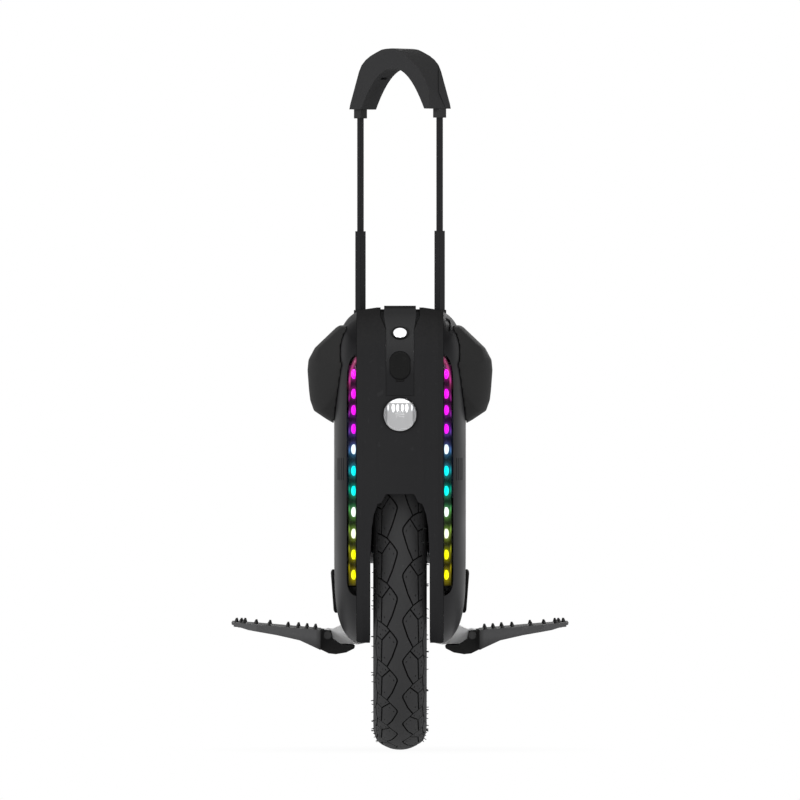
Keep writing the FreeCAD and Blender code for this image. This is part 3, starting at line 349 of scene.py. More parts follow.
def turned(work, line, foot, axis, steps=64, stretch=1.0):
    """A lathe piece: a line of radii and heights turned about an axis and stretched upwards, in mm."""
    across = Vector((0.0, 0.0, 1.0)).cross(axis).normalized()
    along = axis.cross(across) * stretch
    rings = []
    for radius, height in line:
        ring = []
        for k in range(steps if radius > 0.0 else 1):
            a = 2 * pi * k / steps
            spoke = (across * cos(a) + along * sin(a)) * radius
            ring.append(work.verts.new((foot + axis * height + spoke) / 1000))
        rings.append(ring)
    for low_ring, top_ring in zip(rings, rings[1:]):
        for k in range(steps):
            n = (k + 1) % steps
            corners = [low_ring[k % len(low_ring)], low_ring[n % len(low_ring)],
                       top_ring[n % len(top_ring)], top_ring[k % len(top_ring)]]
            work.faces.new(list(dict.fromkeys(corners)))


def joined(work, rings):
    """Walls between closed rings of the same count."""
    for low_ring, top_ring in zip(rings, rings[1:]):
        for k in range(len(low_ring)):
            n = (k + 1) % len(low_ring)
            work.faces.new([low_ring[k], low_ring[n], top_ring[n], top_ring[k]])


def moulded(label, work, paint, body, node, crease=50.0):
    """Turns worked geometry into a smooth piece that rides a body in place of a CAD node."""
    bmesh.ops.recalc_face_normals(work, faces=work.faces)
    mesh = bpy.data.meshes.new(label)
    work.to_mesh(mesh)
    work.free()
    for face in mesh.polygons:
        face.use_smooth = True
    mesh.set_sharp_from_angle(angle=radians(crease))
    mesh.materials.append(paint)
    piece = bpy.data.objects.new(label, mesh)
    scene.collection.objects.link(piece)
    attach(piece, body)
    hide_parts(node)


led_glow, tree, shader = strip_light("led_glow", led_colours, (0.02, 0.02, 0.02, 1.0), "CONSTANT")
core = add(tree, "ShaderNodeGroup", {"Squash": 0.5, "Reach": 0.0055}, node_tree=led_halo)
lit = scaled(tree, core.outputs["Glow"], 0.0, 1.0, *led_strength)
tree.links.new(lit, shader.inputs["Emission Strength"])
for side, sign in (("left", -1.0), ("right", 1.0)):
    domes = bmesh.new()
    aim = Vector((sign * sin(led_turn), -cos(led_turn), 0.0))
    for z in led_heights:
        seat = Vector((sign * led_aside, float(np.interp(z, *zip(*led_seats))), z))
        turned(domes, led_line, seat, aim, steps=24, stretch=led_stretch)
    moulded("led_domes_" + side, domes, led_glow, "chassis", "light_leds_" + side)

# The board's emission is painted light: a faint even glow, pools of light round each LED, and a row of
# painted reflections of the LEDs near the lens's outer edge.
board_painted_light, tree, shader = strip_light("board_painted_light", board_painted_colours, (0.010, 0.010, 0.010, 1.0), "LINEAR")
lit = board_painted_level
for share, shape in (
        (0.45, {"Squash": 0.55, "Reach": 0.0058}), (0.16, {"Reach": 0.0105}),
        (0.9, {"Aside": 0.0528, "Top": 0.3934, "Foot": 0.1781, "Squash": 0.34, "Reach": 0.0022})):
    glow = add(tree, "ShaderNodeGroup", shape, node_tree=led_halo).outputs["Glow"]
    lit = calc(tree, "MULTIPLY_ADD", glow, share, lit)
tree.links.new(lit, shader.inputs["Emission Strength"])
dress(board_painted_light, "light_boards")
board_black = finish("board_black", (0.010, 0.011, 0.010), (0.022, 0.024, 0.022), (0.35, 0.5), grain=400.0)
dress(board_black, "tail_light_board", "controller_board")


def clear_plastic(name, tint, gloss, rough):
    """A thin see-through moulding: tinted, with a sheen that grows towards its edges."""
    made = bpy.data.materials.new(name)
    made.use_nodes = True
    tree = made.node_tree
    tree.nodes.remove(tree.nodes["Principled BSDF"])
    marks = add(tree, "ShaderNodeGroup", {"Scratches": 0.2}, node_tree=handling)
    tone = blend(tree, marks.outputs["Sheen"], tint, [0.94 * c for c in tint])
    through = add(tree, "ShaderNodeBsdfTransparent", {"Color": tone})
    skin = add(tree, "ShaderNodeBsdfGlossy", {"Color": pure_white, "Roughness": rough})
    edge_on = add(tree, "ShaderNodeLayerWeight", {"Blend": 0.3})
    sheen = scaled(tree, edge_on.outputs["Facing"], 0.0, 1.0, *gloss)
    both = add(tree, "ShaderNodeMixShader", {0: sheen, 1: through.outputs[0], 2: skin.outputs[0]})
    tree.links.new(both.outputs[0], tree.nodes["Material Output"].inputs["Surface"])
    return made


arc_across = (0.0430, 0.0527)
arc_up = (0.376, 0.4075)
arc_fade = (0.372, 0.381)
arc_line = 0.88
arc_width = 0.14
arc_strength = 0.30
arc_colour = (0.75, 0.09, 0.30, 1.0)
smoked_lens = clear_plastic("smoked_lens", (0.74, 0.74, 0.76), gloss=(0.003, 0.012), rough=0.12)
tree = smoked_lens.node_tree
# Painted light: a pink glow is emitted along the lens's outer edge near its tip, standing in for the first
# LED's light caught in the lens.
spot = axes(tree, object_spot(tree))
out = scaled(tree, calc(tree, "ABSOLUTE", spot["X"]), *arc_across)
bow = apart(tree, out, scaled(tree, spot["Z"], *arc_up))
off = calc(tree, "ABSOLUTE", calc(tree, "SUBTRACT", bow, arc_line))
ends = scaled(tree, spot["Z"], *arc_fade, 0.0, arc_strength)
lit = calc(tree, "MULTIPLY", scaled(tree, off, arc_width, 0.0), ends)
edge_glow = add(tree, "ShaderNodeEmission", {"Color": arc_colour, "Strength": lit})
surface = tree.nodes["Material Output"].inputs["Surface"]
both = add(tree, "ShaderNodeAddShader", {0: surface.links[0].from_socket, 1: edge_glow.outputs[0]})
tree.links.new(both.outputs[0], surface)
dress(smoked_lens, "light_lens_left", "light_lens_right")

# Headlight: a clear moulded dome in a thin dark ring, let into the front panel. Behind it a
# moulded carrier holds a curved light bar along the top and a row of upright white LED lenses,
# over a grey field. The carrier is no lamp: its grey field glows with painted light, and its
# forward-turned sides are painted darker as painted shade.
lamp_z = 347.3
lamp_field = 12.9
lamp_edge = 16.7
lamp_roof = 11.6
lamp_floor = -203.5
lamp_rise = 4.0
lamp_back = -198.5
lamp_root = 1.0
lamp_steps = 72
lamp_rings = (0.0, 3.0, 6.0, 9.0, 11.0, 12.2, 13.0, 13.8, 14.6, 15.4, 16.1, lamp_edge)
bar_radius = 16.1
bar_reach = 0.66
bar_half = 9.3
bar_foot = 12.15
bar_height = 1.6
drop_height = 1.4
# Painted light on the carrier: the emitted grey of its flat field, then the darker painted shade of its
# sides.
field_painted_light = (0.50, 0.50, 0.51)
wing_painted_shade = (0.25, 0.25, 0.26)
wing_edge = (0.0127, 0.0131)
drop_narrowing = 0.35
drop_shapes = (
    (-6.9, 1.75, 2.2, 11.0), (6.9, 1.75, 2.2, 11.0), (-2.45, 1.35, 3.0, 10.8), (2.45, 1.35, 3.0, 10.8),
    (-12.2, 0.6, 3.6, 10.0), (12.2, 0.6, 3.6, 10.0))
dress(frame_black, "headlight_bezel")
clear_lens = clear_plastic("clear_lens", (0.99, 0.99, 0.99), gloss=(0.008, 0.08), rough=0.05)
dress(clear_lens, "headlight_lens")


def lamp_depth(x, z):
    """How far back the carrier lies: a flat field, sides that come forward and a sloping top, in mm."""
    side = max(0.0, abs(x) - lamp_field) / (lamp_edge - lamp_field)
    roof = max(0.0, z - lamp_roof) / (lamp_edge - lamp_roof)
    return lamp_floor - lamp_rise * max(side ** 0.7, roof ** 0.8)


def lamp_solid(work, outline, rise):
    """A moulded relief on the carrier: outline rings shrink as they rise to a soft top."""
    middle = sum((Vector(p) for p in outline), Vector((0.0, 0.0))) / len(outline)
    rings = []
    for share, height in ((1.0, -lamp_root), (1.0, 0.35 * rise), (0.93, 0.7 * rise), (0.8, 0.9 * rise),
                          (0.5, rise)):
        ring = []
        for p in outline:
            x, z = middle + (Vector(p) - middle) * share
            ring.append(work.verts.new(Vector((x, lamp_depth(x, z) - height, lamp_z + z)) / 1000))
        rings.append(ring)
    joined(work, rings)
    work.faces.new(rings[-1])
    work.faces.new(list(reversed(rings[0])))


carrier = bmesh.new()
turns = [2 * pi * k / lamp_steps for k in range(lamp_steps)]
carrier_rings = []
for radius in lamp_rings:
    ring = []
    for a in turns:
        x, z = radius * sin(a), radius * cos(a)
        ring.append(carrier.verts.new(Vector((x, lamp_depth(x, z), lamp_z + z)) / 1000))
    carrier_rings.append(ring)
carrier_rings.append([
    carrier.verts.new(Vector((lamp_edge * sin(a), lamp_back, lamp_z + lamp_edge * cos(a))) / 1000)
    for a in turns])
joined(carrier, carrier_rings)
carrier.faces.new(carrier_rings[-1])
bmesh.ops.remove_doubles(carrier, verts=carrier.verts, dist=0.00002)
lamps = bmesh.new()
bar = [(bar_radius * sin(a), bar_radius * cos(a)) for a in np.linspace(-bar_reach, bar_reach, 25)]
lamp_solid(lamps, bar + [(x, bar_foot) for x in np.linspace(bar_half, -bar_half, 15)], bar_height)
for x, half, low_end, high_end in drop_shapes:
    middle, tall = (low_end + high_end) / 2, (high_end - low_end) / 2
    drop = []
    for a in turns[::3]:
        narrow = 1.0 - drop_narrowing * max(0.0, -cos(a))
        drop.append((x + half * narrow * sin(a), middle + tall * cos(a)))
    lamp_solid(lamps, drop, drop_height)

# The carrier's emission is painted light, as if lit by the LEDs, with its sides painted darker as painted
# shade.
lamp_painted_glow = bpy.data.materials.new("lamp_painted_glow")
lamp_painted_glow.use_nodes = True
tree = lamp_painted_glow.node_tree
shader = tree.nodes["Principled BSDF"]
aside = calc(tree, "ABSOLUTE", axes(tree, object_spot(tree))["X"])
tone = blend(tree, scaled(tree, aside, *wing_edge), field_painted_light, wing_painted_shade)
marks = add(tree, "ShaderNodeGroup", {"Scale": 220.0, "Scratches": 0.0}, node_tree=handling)
patchy = scaled(tree, marks.outputs["Sheen"], 0.0, 1.0, 0.86, 0.98)
tree.links.new(tone, shader.inputs["Emission Color"])
tree.links.new(patchy, shader.inputs["Emission Strength"])
shader.inputs["Base Color"].default_value = (0.06, 0.06, 0.06, 1.0)
shader.inputs["Roughness"].default_value = 0.6
shader.inputs["Specular IOR Level"].default_value = 0.05
lamp_white = bpy.data.materials.new("lamp_white")
lamp_white.use_nodes = True
tree = lamp_white.node_tree
shader = tree.nodes["Principled BSDF"]
dots = add(tree, "ShaderNodeTexVoronoi", {"Vector": object_spot(tree), "Scale": 250.0})
hot = blend(tree, dots.outputs["Distance"], (1.0, 1.0, 1.0), (0.90, 0.92, 0.95))
tree.links.new(hot, shader.inputs["Emission Color"])
tree.links.new(hot, shader.inputs["Base Color"])
shader.inputs["Emission Strength"].default_value = 1.1
moulded("lamp_carrier", carrier, lamp_painted_glow, "chassis", "headlight_reflector")
moulded("lamp_lights", lamps, lamp_white, "chassis", "headlight_leds")

# Tail light: a red moulded lens, let into the rear panel and held from behind, with its small
# board inside it.
tail_red = clear_plastic("tail_red", (0.50, 0.012, 0.010), gloss=(0.02, 0.25), rough=0.1)
dress(tail_red, "tail_light_lens")

# Power button and charge port: a polished push button in a black ring, and a soft rubber flap
# hinged over the charge socket, both let into the raised strip down the middle of the front.
button_at = Vector((0.0, -193.38, 431.0))
button_out = Vector((0.0, -0.7178, 0.6962))
ring_line = ((0.0, -11.0), (8.9, -11.0), (8.9, 0.7), (8.7, 1.1), (8.3, 1.2), (7.6, 1.0), (7.3, 0.7),
             (7.3, 0.2), (8.2, 0.1), (8.2, -9.5), (0.0, -9.5))
push_line = ((0.0, -7.5), (7.9, -7.5), (7.9, -0.3), (7.2, -0.1), (7.1, 0.4), (6.8, 0.7), (6.3, 0.8),
             (5.0, 0.75), (3.0, 0.6), (1.5, 0.52), (0.0, 0.5))
flap_steps = 64
flap_half = 10.4
flap_straight = 4.6
flap_lift = 0.5
flap_thick = 2.2
flap_dip = 0.7
flap_dip_up = 4.0
flap_dip_reach = 6.403
flap_under = flap_lift - flap_thick
flap_back = ((9.9, flap_under), (5.0, flap_under), (0.0, flap_under), (0.0, 0.1), (0.1, 0.34))
flap_face = (0.35, 1.2, 2.4, 3.6, 4.8, 6.0, 7.2, 8.4, 9.4, 9.9)
barrel_at = Vector((0.0, -211.3, 382.2))
barrel_line = ((0.0, -4.0), (0.8, -4.0), (1.1, -3.7), (1.1, 3.7), (0.8, 4.0), (0.0, 4.0))
nose_centre = (-146.0, 385.05)
nose_radius = 66.0
port_at = (-210.757, 397.8)
port_out = (-0.98116, 0.19321)

ring_black = finish("ring_black", (0.004, 0.004, 0.004), (0.007, 0.007, 0.007), (0.45, 0.6), specular=0.1)
ring = bmesh.new()
turned(ring, ring_line, button_at, button_out)
moulded("button_ring", ring, ring_black, "chassis", "button_bezel", crease=35.0)
button_bright = finish("button_bright", (0.78, 0.78, 0.80), (0.88, 0.88, 0.89), (0.14, 0.24), metal=1.0,
                       specular=0.5, depth=0.000006, dust=0.0, scratches=0.2)
push = bmesh.new()
turned(push, push_line, button_at, button_out)
moulded("push_button", push, button_bright, "power_button", "power_button", crease=40.0)


def on_nose(across, up, lift):
    """A point over the strip's curved front, given in the flap's own plane and lifted off the curve."""
    y, z = port_at[0] - up * port_out[1], port_at[1] - up * port_out[0]
    off = (y - nose_centre[0], z - nose_centre[1])
    lean = off[0] * port_out[0] + off[1] * port_out[1]
    rise = (lean ** 2 - off[0] ** 2 - off[1] ** 2 + (nose_radius + lift) ** 2) ** 0.5 - lean
    if z + rise * port_out[1] < nose_centre[1]:
        rise = (y - nose_centre[0] + nose_radius + lift) / -port_out[0]
    return Vector((across, y + rise * port_out[0], z + rise * port_out[1])) / 1000


flap = bmesh.new()
rings = []
for inset, lift in flap_back + tuple((inset, flap_lift) for inset in flap_face):
    ring = []
    for k in range(flap_steps):
        a = 2 * pi * (k + 0.5) / flap_steps
        across = (flap_half - inset) * cos(a)
        up = (flap_half - inset) * sin(a) + (flap_straight if sin(a) > 0 else -flap_straight)
        off_dip = (across ** 2 + (up - flap_dip_up) ** 2) / flap_dip_reach ** 2
        dip = flap_dip * max(0.0, 1.0 - off_dip) if lift == flap_lift else 0.0
        ring.append(flap.verts.new(on_nose(across, up, lift - dip)))
    rings.append(ring)
joined(flap, rings)
flap.faces.new(rings[-1])
flap.faces.new(list(reversed(rings[0])))
turned(flap, barrel_line, barrel_at, Vector((1.0, 0.0, 0.0)), steps=20)
flap_rubber = finish("flap_rubber", (0.012, 0.012, 0.012), (0.015, 0.015, 0.015), (0.7, 0.8), specular=0.02)
moulded("port_flap", flap, flap_rubber, "port_cover", "port_cover", crease=60.0)

# Leg and ankle pads: moulded foam under a thin rubber skin, soft at every edge, pressed on to
# the side shells.
pad_skin = finish("pad_skin", (0.015, 0.015, 0.015), (0.019, 0.019, 0.019), (0.66, 0.76), grain=700.0,
                  depth=0.00008, specular=0.10)
ankle_skin = finish("ankle_skin", (0.010, 0.010, 0.010), (0.014, 0.014, 0.014), (0.68, 0.78), grain=700.0,
                    depth=0.00008, specular=0.10)


def soft_pad(label, node, skin, voxel, rounds):
    """A foam pad from its CAD solid: one closed skin, evenly meshed, with its edges eased."""
    mesh = nodes[node].data.copy()
    mesh.materials.clear()
    work = bmesh.new()
    work.from_mesh(mesh)
    bmesh.ops.remove_doubles(work, verts=work.verts, dist=0.00002)
    work.to_mesh(mesh)
    work.free()
    raw = bpy.data.objects.new(label + "_raw", mesh)
    scene.collection.objects.link(raw)
    grid = raw.modifiers.new("grid", "REMESH")
    grid.mode = "VOXEL"
    grid.voxel_size = voxel
    ease = raw.modifiers.new("ease", "SMOOTH")
    ease.factor = 0.5
    ease.iterations = rounds
    bpy.context.view_layer.update()
    made = bpy.data.meshes.new_from_object(raw.evaluated_get(bpy.context.evaluated_depsgraph_get()))
    bpy.data.objects.remove(raw)
    made.name = label
    made.materials.append(skin)
    for face in made.polygons:
        face.use_smooth = True
    pad = bpy.data.objects.new(label, made)
    scene.collection.objects.link(pad)
    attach(pad, "chassis")
    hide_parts(node)


for side in ("left", "right"):
    soft_pad("leg_foam_" + side, "leg_pad_" + side, pad_skin, voxel=0.0014, rounds=3)
    soft_pad("ankle_foam_" + side, "ankle_pad_" + side, ankle_skin, voxel=0.0012, rounds=1)

# Tyre: a 16 inch road tyre, moulded in rubber with a leaf tread and seated on the rim. One pitch
# of the tread is cut into a patch of the crown, closed by its side walls and lining, and the
# wheel carries 27 such pitches.
pitch_count = 27
axle_height = 0.203
tyre_radius = 203.0
pitch_angle = 2 * pi / pitch_count
pitch_mm = pitch_angle * tyre_radius
first_leaf = radians(6.7)
tread_half = 26.4
groove_half = 0.80
groove_depth = 2.2
groove_painted_shade = (0.003, 0.003, 0.003)
pin_half = 0.45
pin_depth = 0.9
pin_along = 1.0
pin_lean = 0.5
patch_margin = 3.0
grid_gap = 0.6
tread_crease = 38.0
crown = ((0.0, 203.0), (8.0, 202.1), (16.0, 199.0), (22.3, 194.9), (25.1, 191.0), (27.2, 184.0),
         (27.5, 178.0), (25.7, 169.6), (21.0, 163.2), (15.8, 160.2))
lining = ((15.8, 152.6), (11.4, 152.6), (11.4, 162.0), (16.4, 165.4), (20.4, 171.0), (22.0, 177.5),
          (21.6, 183.0), (19.4, 188.8), (14.5, 193.6), (8.0, 196.5), (0.0, 197.4))
leaf = (
    ((0.0, 23.3), (0.032, 19.2), (0.114, 13.4), (0.19, 10.4), (0.26, 7.6), (0.361, 4.3), (0.40, 3.3),
     (0.437, 2.9), (0.48, 3.0), (0.538, 3.7), (0.842, 8.1), (1.114, 13.4)),
    ((0.19, 10.4), (0.456, 18.6)), ((0.456, 18.6), (0.386, 23.9)), ((0.456, 18.6), (1.032, 19.2)),
    ((0.0, 23.3), (0.386, 23.9), (0.59, 25.0), (0.89, 24.2), (1.0, 23.3)))
pins = ((0.924, 21.4), (0.892, 15.9), (0.146, 21.4), (0.209, 14.8), (0.329, 19.8), (0.354, 10.6),
        (0.462, 6.5), (0.56, 22.0), (0.68, 22.0))


def smooth_line(points, steps):
    """A curve through every point, in short even pieces."""
    points = np.array(points, float)
    padded = np.vstack([2 * points[0] - points[1], points, 2 * points[-1] - points[-2]])
    found = []
    for k in range(len(points) - 1):
        a, b, c, d = padded[k:k + 4]
        for u in np.arange(steps) / steps:
            found.append(0.5 * (2 * b + (c - a) * u + (2 * a - 5 * b + 4 * c - d) * u ** 2
                                + (3 * b - a - 3 * c + d) * u ** 3))
    found.append(points[-1])
    return np.array(found)


half_curve = smooth_line([(-crown[1][0], crown[1][1])] + list(crown), 24)[24:]
reach = np.concatenate([[0.0], np.cumsum(np.hypot(*np.diff(half_curve, axis=0).T))])
slope_x = np.gradient(half_curve[:, 0], reach)
slope_r = np.gradient(half_curve[:, 1], reach)
rising = np.arange(len(half_curve)) <= half_curve[:, 0].argmax()


def on_tyre(turn, t, depth):
    """A point at an angle round the wheel and a distance across the tread, sunk by a depth, in metres."""
    away = abs(t)
    x = np.interp(away, reach, half_curve[:, 0]) + depth * np.interp(away, reach, slope_r)
    r = np.interp(away, reach, half_curve[:, 1]) - depth * np.interp(away, reach, slope_x)
    x = x if t >= 0 else -x
    return (x / 1000, -r * cos(turn) / 1000, -r * sin(turn) / 1000)


def across_tread(x):
    """How far round the crown a point lies that is this far aside."""
    return float(np.interp(x, half_curve[rising, 0], reach[rising]))


cuts = []
for mirror, shift in ((-1.0, 0.0), (1.0, 0.5)):
    for lap in (-2, -1, 0, 1):
        for line in leaf:
            spots = [((f + shift + lap) * pitch_mm, mirror * across_tread(x)) for f, x in line]
            cuts += [(Vector(a), Vector(b), groove_half, groove_depth) for a, b in zip(spots, spots[1:])]
        for f, x in pins:
            middle = Vector(((f + shift + lap) * pitch_mm, mirror * across_tread(x)))
            lean = Vector((pin_along, -pin_lean * mirror))
            cuts.append((middle - lean, middle + lean, pin_half, pin_depth))
cuts = [c for c in cuts if min(c[0].x, c[1].x) < pitch_mm + patch_margin
        and max(c[0].x, c[1].x) > -patch_margin]


def off_line(point, a, b):
    """How far a point of the flat pattern lies from a cut's middle line."""
    run = b - a
    along = max(0.0, min(1.0, (point - a).dot(run) / run.length_squared))
    return (point - a - run * along).length


def cut_depth(point):
    """How deep the tread is cut at a point of the flat pattern."""
    return max([depth for a, b, half, depth in cuts if off_line(point, a, b) < half], default=0.0)


edge = across_tread(tread_half)
columns = 10
rows = np.linspace(-edge, edge, 19)
spots = []
edges = []
for a, b, half, depth in cuts:
    side_step = (b - a).orthogonal().normalized() * half
    start = len(spots)
    spots += [a + side_step, b + side_step, b - side_step, a - side_step]
    edges += [(start, start + 1), (start + 2, start + 3)]
    if depth == pin_depth:
        edges += [(start + 1, start + 2), (start + 3, start)]
rim_start = len(spots)
rim_spots = [Vector((pitch_mm * k / columns, -edge)) for k in range(columns + 1)]
rim_spots += [Vector((pitch_mm, t)) for t in rows[1:-1]]
rim_spots += [Vector((pitch_mm * k / columns, edge)) for k in range(columns, -1, -1)]
rim_spots += [Vector((0.0, t)) for t in rows[-2:0:-1]]
spots += rim_spots
edges += [(rim_start + k, rim_start + (k + 1) % len(rim_spots)) for k in range(len(rim_spots))]
for k in range(1, columns):
    for row, t in enumerate(rows[1:-1]):
        point = Vector((pitch_mm * (k + 0.25 * (row % 2)) / columns, t))
        if all(off_line(point, a, b) > half + grid_gap for a, b, half, depth in cuts):
            spots.append(point)
flat, _, faces, _, _, _ = delaunay_2d_cdt(spots, edges, [], 0, 0.0005)
patch = bmesh.new()
sunk = patch.verts.layers.float.new("sunk")
made_at = {}


def patch_vert(index, depth):
    """The patch's corner over a point of the flat pattern, made once for each depth."""
    key = (index, depth)
    if key not in made_at:
        turn = first_leaf + flat[index].x / tyre_radius
        made_at[key] = patch.verts.new(on_tyre(turn, flat[index].y, depth))
        made_at[key][sunk] = depth / groove_depth
    return made_at[key]


edge_use = {}
for face in faces:
    middle = sum((flat[i] for i in face), Vector((0.0, 0.0))) / len(face)
    if not (0.0 < middle.x < pitch_mm and abs(middle.y) < edge):
        continue
    depth = cut_depth(middle)
    patch.faces.new([patch_vert(i, depth) for i in face])
    for a, b in zip(face, face[1:] + face[:1]):
        edge_use.setdefault((min(a, b), max(a, b)), []).append(depth)
for (a, b), depths in edge_use.items():
    if len(depths) == 2 and depths[0] != depths[1]:
        patch.faces.new([patch_vert(a, depths[0]), patch_vert(b, depths[0]),
                         patch_vert(b, depths[1]), patch_vert(a, depths[1])])
wall = [on_tyre(0.0, t, 0.0) for t in np.linspace(edge, reach[-1], 9)]
half_ring = [(x * 1000, -y * 1000) for x, y, z in wall] + list(lining)
ring = half_ring + [(-x, r) for x, r in reversed(half_ring[:-1])]
mesh_rings = []
for k in range(columns + 1):
    a = first_leaf + pitch_angle * k / columns
    mesh_rings.append([patch.verts.new((x / 1000, -r * cos(a) / 1000, -r * sin(a) / 1000)) for x, r in ring])
for near, off in zip(mesh_rings, mesh_rings[1:]):
    for k in range(len(ring) - 1):
        patch.faces.new([near[k], near[k + 1], off[k + 1], off[k]])
bmesh.ops.remove_doubles(patch, verts=patch.verts, dist=0.000004)
bmesh.ops.recalc_face_normals(patch, faces=patch.faces)
patch_mesh = bpy.data.meshes.new("tread_patch")
patch.to_mesh(patch_mesh)
patch.free()


def node_tree(label, takes):
    """An empty geometry tree with named inputs; returns it with its start and end sockets."""
    tree = bpy.data.node_groups.new(label, "GeometryNodeTree")
    tree.interface.new_socket("Geometry", in_out="INPUT", socket_type="NodeSocketGeometry")
    tree.interface.new_socket("Geometry", in_out="OUTPUT", socket_type="NodeSocketGeometry")
    for key, kind in takes:
        tree.interface.new_socket(key, in_out="INPUT", socket_type=kind)
    return tree, tree.nodes.new("NodeGroupInput").outputs, tree.nodes.new("NodeGroupOutput").inputs


def grown(label, mesh, tree, values):
    """The plain mesh that a geometry tree makes from a mesh and its named values."""
    base = bpy.data.objects.new(label + "_base", mesh)
    scene.collection.objects.link(base)
    maker = base.modifiers.new(label, "NODES")
    maker.node_group = tree
    for item in tree.interface.items_tree:
        if item.in_out == "INPUT" and item.name in values:
            maker[item.identifier] = values[item.name]
    bpy.context.view_layer.update()
    made = bpy.data.meshes.new_from_object(base.evaluated_get(bpy.context.evaluated_depsgraph_get()))
    base.modifiers.remove(maker)
    bpy.data.objects.remove(base)
    made.name = label
    piece = bpy.data.objects.new(label, made)
    scene.collection.objects.link(piece)
    return piece


wheel_ring, takes, gives = node_tree("wheel_ring", [
    ("Pitches", "NodeSocketInt"), ("Axle Height", "NodeSocketFloat"), ("Rubber", "NodeSocketMaterial")])
hub = add(wheel_ring, "ShaderNodeCombineXYZ", {"Z": takes["Axle Height"]})
stations = add(wheel_ring, "GeometryNodeMeshLine", {
    "Count": takes["Pitches"], "Start Location": hub.outputs[0], "Offset": (0.0, 0.0, 0.0)})
share = calc(wheel_ring, "DIVIDE", 2 * pi, takes["Pitches"])
turn = calc(wheel_ring, "MULTIPLY", add(wheel_ring, "GeometryNodeInputIndex").outputs[0], share)
spin = add(wheel_ring, "ShaderNodeCombineXYZ", {"X": turn})
laid = add(wheel_ring, "GeometryNodeInstanceOnPoints", {
    "Points": stations.outputs[0], "Instance": takes["Geometry"], "Rotation": spin.outputs[0]})
real = add(wheel_ring, "GeometryNodeRealizeInstances", {0: laid.outputs[0]})
sewn = add(wheel_ring, "GeometryNodeMergeByDistance", {"Geometry": real.outputs[0], "Distance": 0.00002})
coated = add(wheel_ring, "GeometryNodeSetMaterial", {
    "Geometry": sewn.outputs[0], "Material": takes["Rubber"]})
wheel_ring.links.new(coated.outputs[0], gives["Geometry"])
tyre_rubber = finish("tyre_rubber", (0.036, 0.036, 0.037), (0.045, 0.045, 0.046), (0.70, 0.82), grain=800.0,
                     depth=0.00006, specular=0.10, dust=0.03)
# Painted shade: the groove floors and walls are painted near-black, the more so the deeper they are sunk.
groove_shade_share = add(tyre_rubber.node_tree, "ShaderNodeAttribute", attribute_name="sunk").outputs["Fac"]
toned(tyre_rubber, groove_shade_share, groove_painted_shade)
tyre = grown("leaf_tyre", patch_mesh, wheel_ring, {
    "Pitches": pitch_count, "Axle Height": axle_height, "Rubber": tyre_rubber})
for face in tyre.data.polygons:
    face.use_smooth = True
tyre.data.set_sharp_from_angle(angle=radians(tread_crease))
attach(tyre, "wheel")
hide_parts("tyre")

# Vent hairs: thin threads of rubber left by the mould's vents, on the shoulders and the crown.
# Each row lies at one distance aside, and none stands where the tyre rests on the ground.
rng = np.random.default_rng(16)
hair_rows = ((27.3, 0.0030), (27.2, 0.0030), (26.8, 0.0015), (25.0, 0.0030), (23.2, 0.0028), (18.0, 0.0014))
hair_root = 0.25
hair_ground = 0.006
hair_thickness = 0.00055
hair_tip = 0.00036
hair_stray = 0.6
hair_tilt = 0.2
hair_shortest = 0.8
hair_seats = []
hair_aims = []
hair_lengths = []
for aside, length in hair_rows:
    for k in range(pitch_count * 2):
        mirror = 1.0 if k % 2 else -1.0
        angle = (k + rng.uniform(-hair_stray, hair_stray)) * pi / pitch_count
        t = mirror * across_tread(aside)
        foot = Vector(on_tyre(angle, t, hair_root))
        tip = Vector(on_tyre(angle, t, -1.0))
        if foot.z + axle_height < hair_ground:
            continue
        hair_seats.append(foot + Vector((0.0, 0.0, axle_height)))
        hair_aims.append(((tip - foot).normalized() + Vector(rng.normal(0.0, hair_tilt, 3))).normalized())
        hair_lengths.append(length * rng.uniform(hair_shortest, 1.0))
seat_mesh = bpy.data.meshes.new("hair_seats")
seat_mesh.from_pydata(hair_seats, [], [])
aims = seat_mesh.attributes.new("aim", "FLOAT_VECTOR", "POINT")
aims.data.foreach_set("vector", np.array(hair_aims, np.float32).ravel())
lengths = seat_mesh.attributes.new("length", "FLOAT", "POINT")
lengths.data.foreach_set("value", np.array(hair_lengths, np.float32))
hair_tree, takes, gives = node_tree("vent_hairs", [
    ("Thickness", "NodeSocketFloat"), ("Rubber", "NodeSocketMaterial")])
thread = add(hair_tree, "GeometryNodeMeshCone", {
    "Vertices": 5, "Side Segments": 2, "Radius Top": hair_tip, "Radius Bottom": takes["Thickness"],
    "Depth": 1.0})
aim = add(hair_tree, "GeometryNodeInputNamedAttribute", {"Name": "aim"}, data_type="FLOAT_VECTOR")
tall = add(hair_tree, "GeometryNodeInputNamedAttribute", {"Name": "length"}, data_type="FLOAT")
lean = add(hair_tree, "FunctionNodeAlignRotationToVector", {"Vector": aim.outputs[0]}, axis="Z")
size = add(hair_tree, "ShaderNodeCombineXYZ", {"X": 1.0, "Y": 1.0, "Z": tall.outputs[0]})
laid = add(hair_tree, "GeometryNodeInstanceOnPoints", {
    "Points": takes["Geometry"], "Instance": thread.outputs["Mesh"], "Rotation": lean.outputs[0],
    "Scale": size.outputs[0]})
real = add(hair_tree, "GeometryNodeRealizeInstances", {0: laid.outputs[0]})
coated = add(hair_tree, "GeometryNodeSetMaterial", {
    "Geometry": real.outputs[0], "Material": takes["Rubber"]})
hair_tree.links.new(coated.outputs[0], gives["Geometry"])
hairs = grown("vent_hairs", seat_mesh, hair_tree, {"Thickness": hair_thickness, "Rubber": tyre_rubber})
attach(hairs, "wheel")

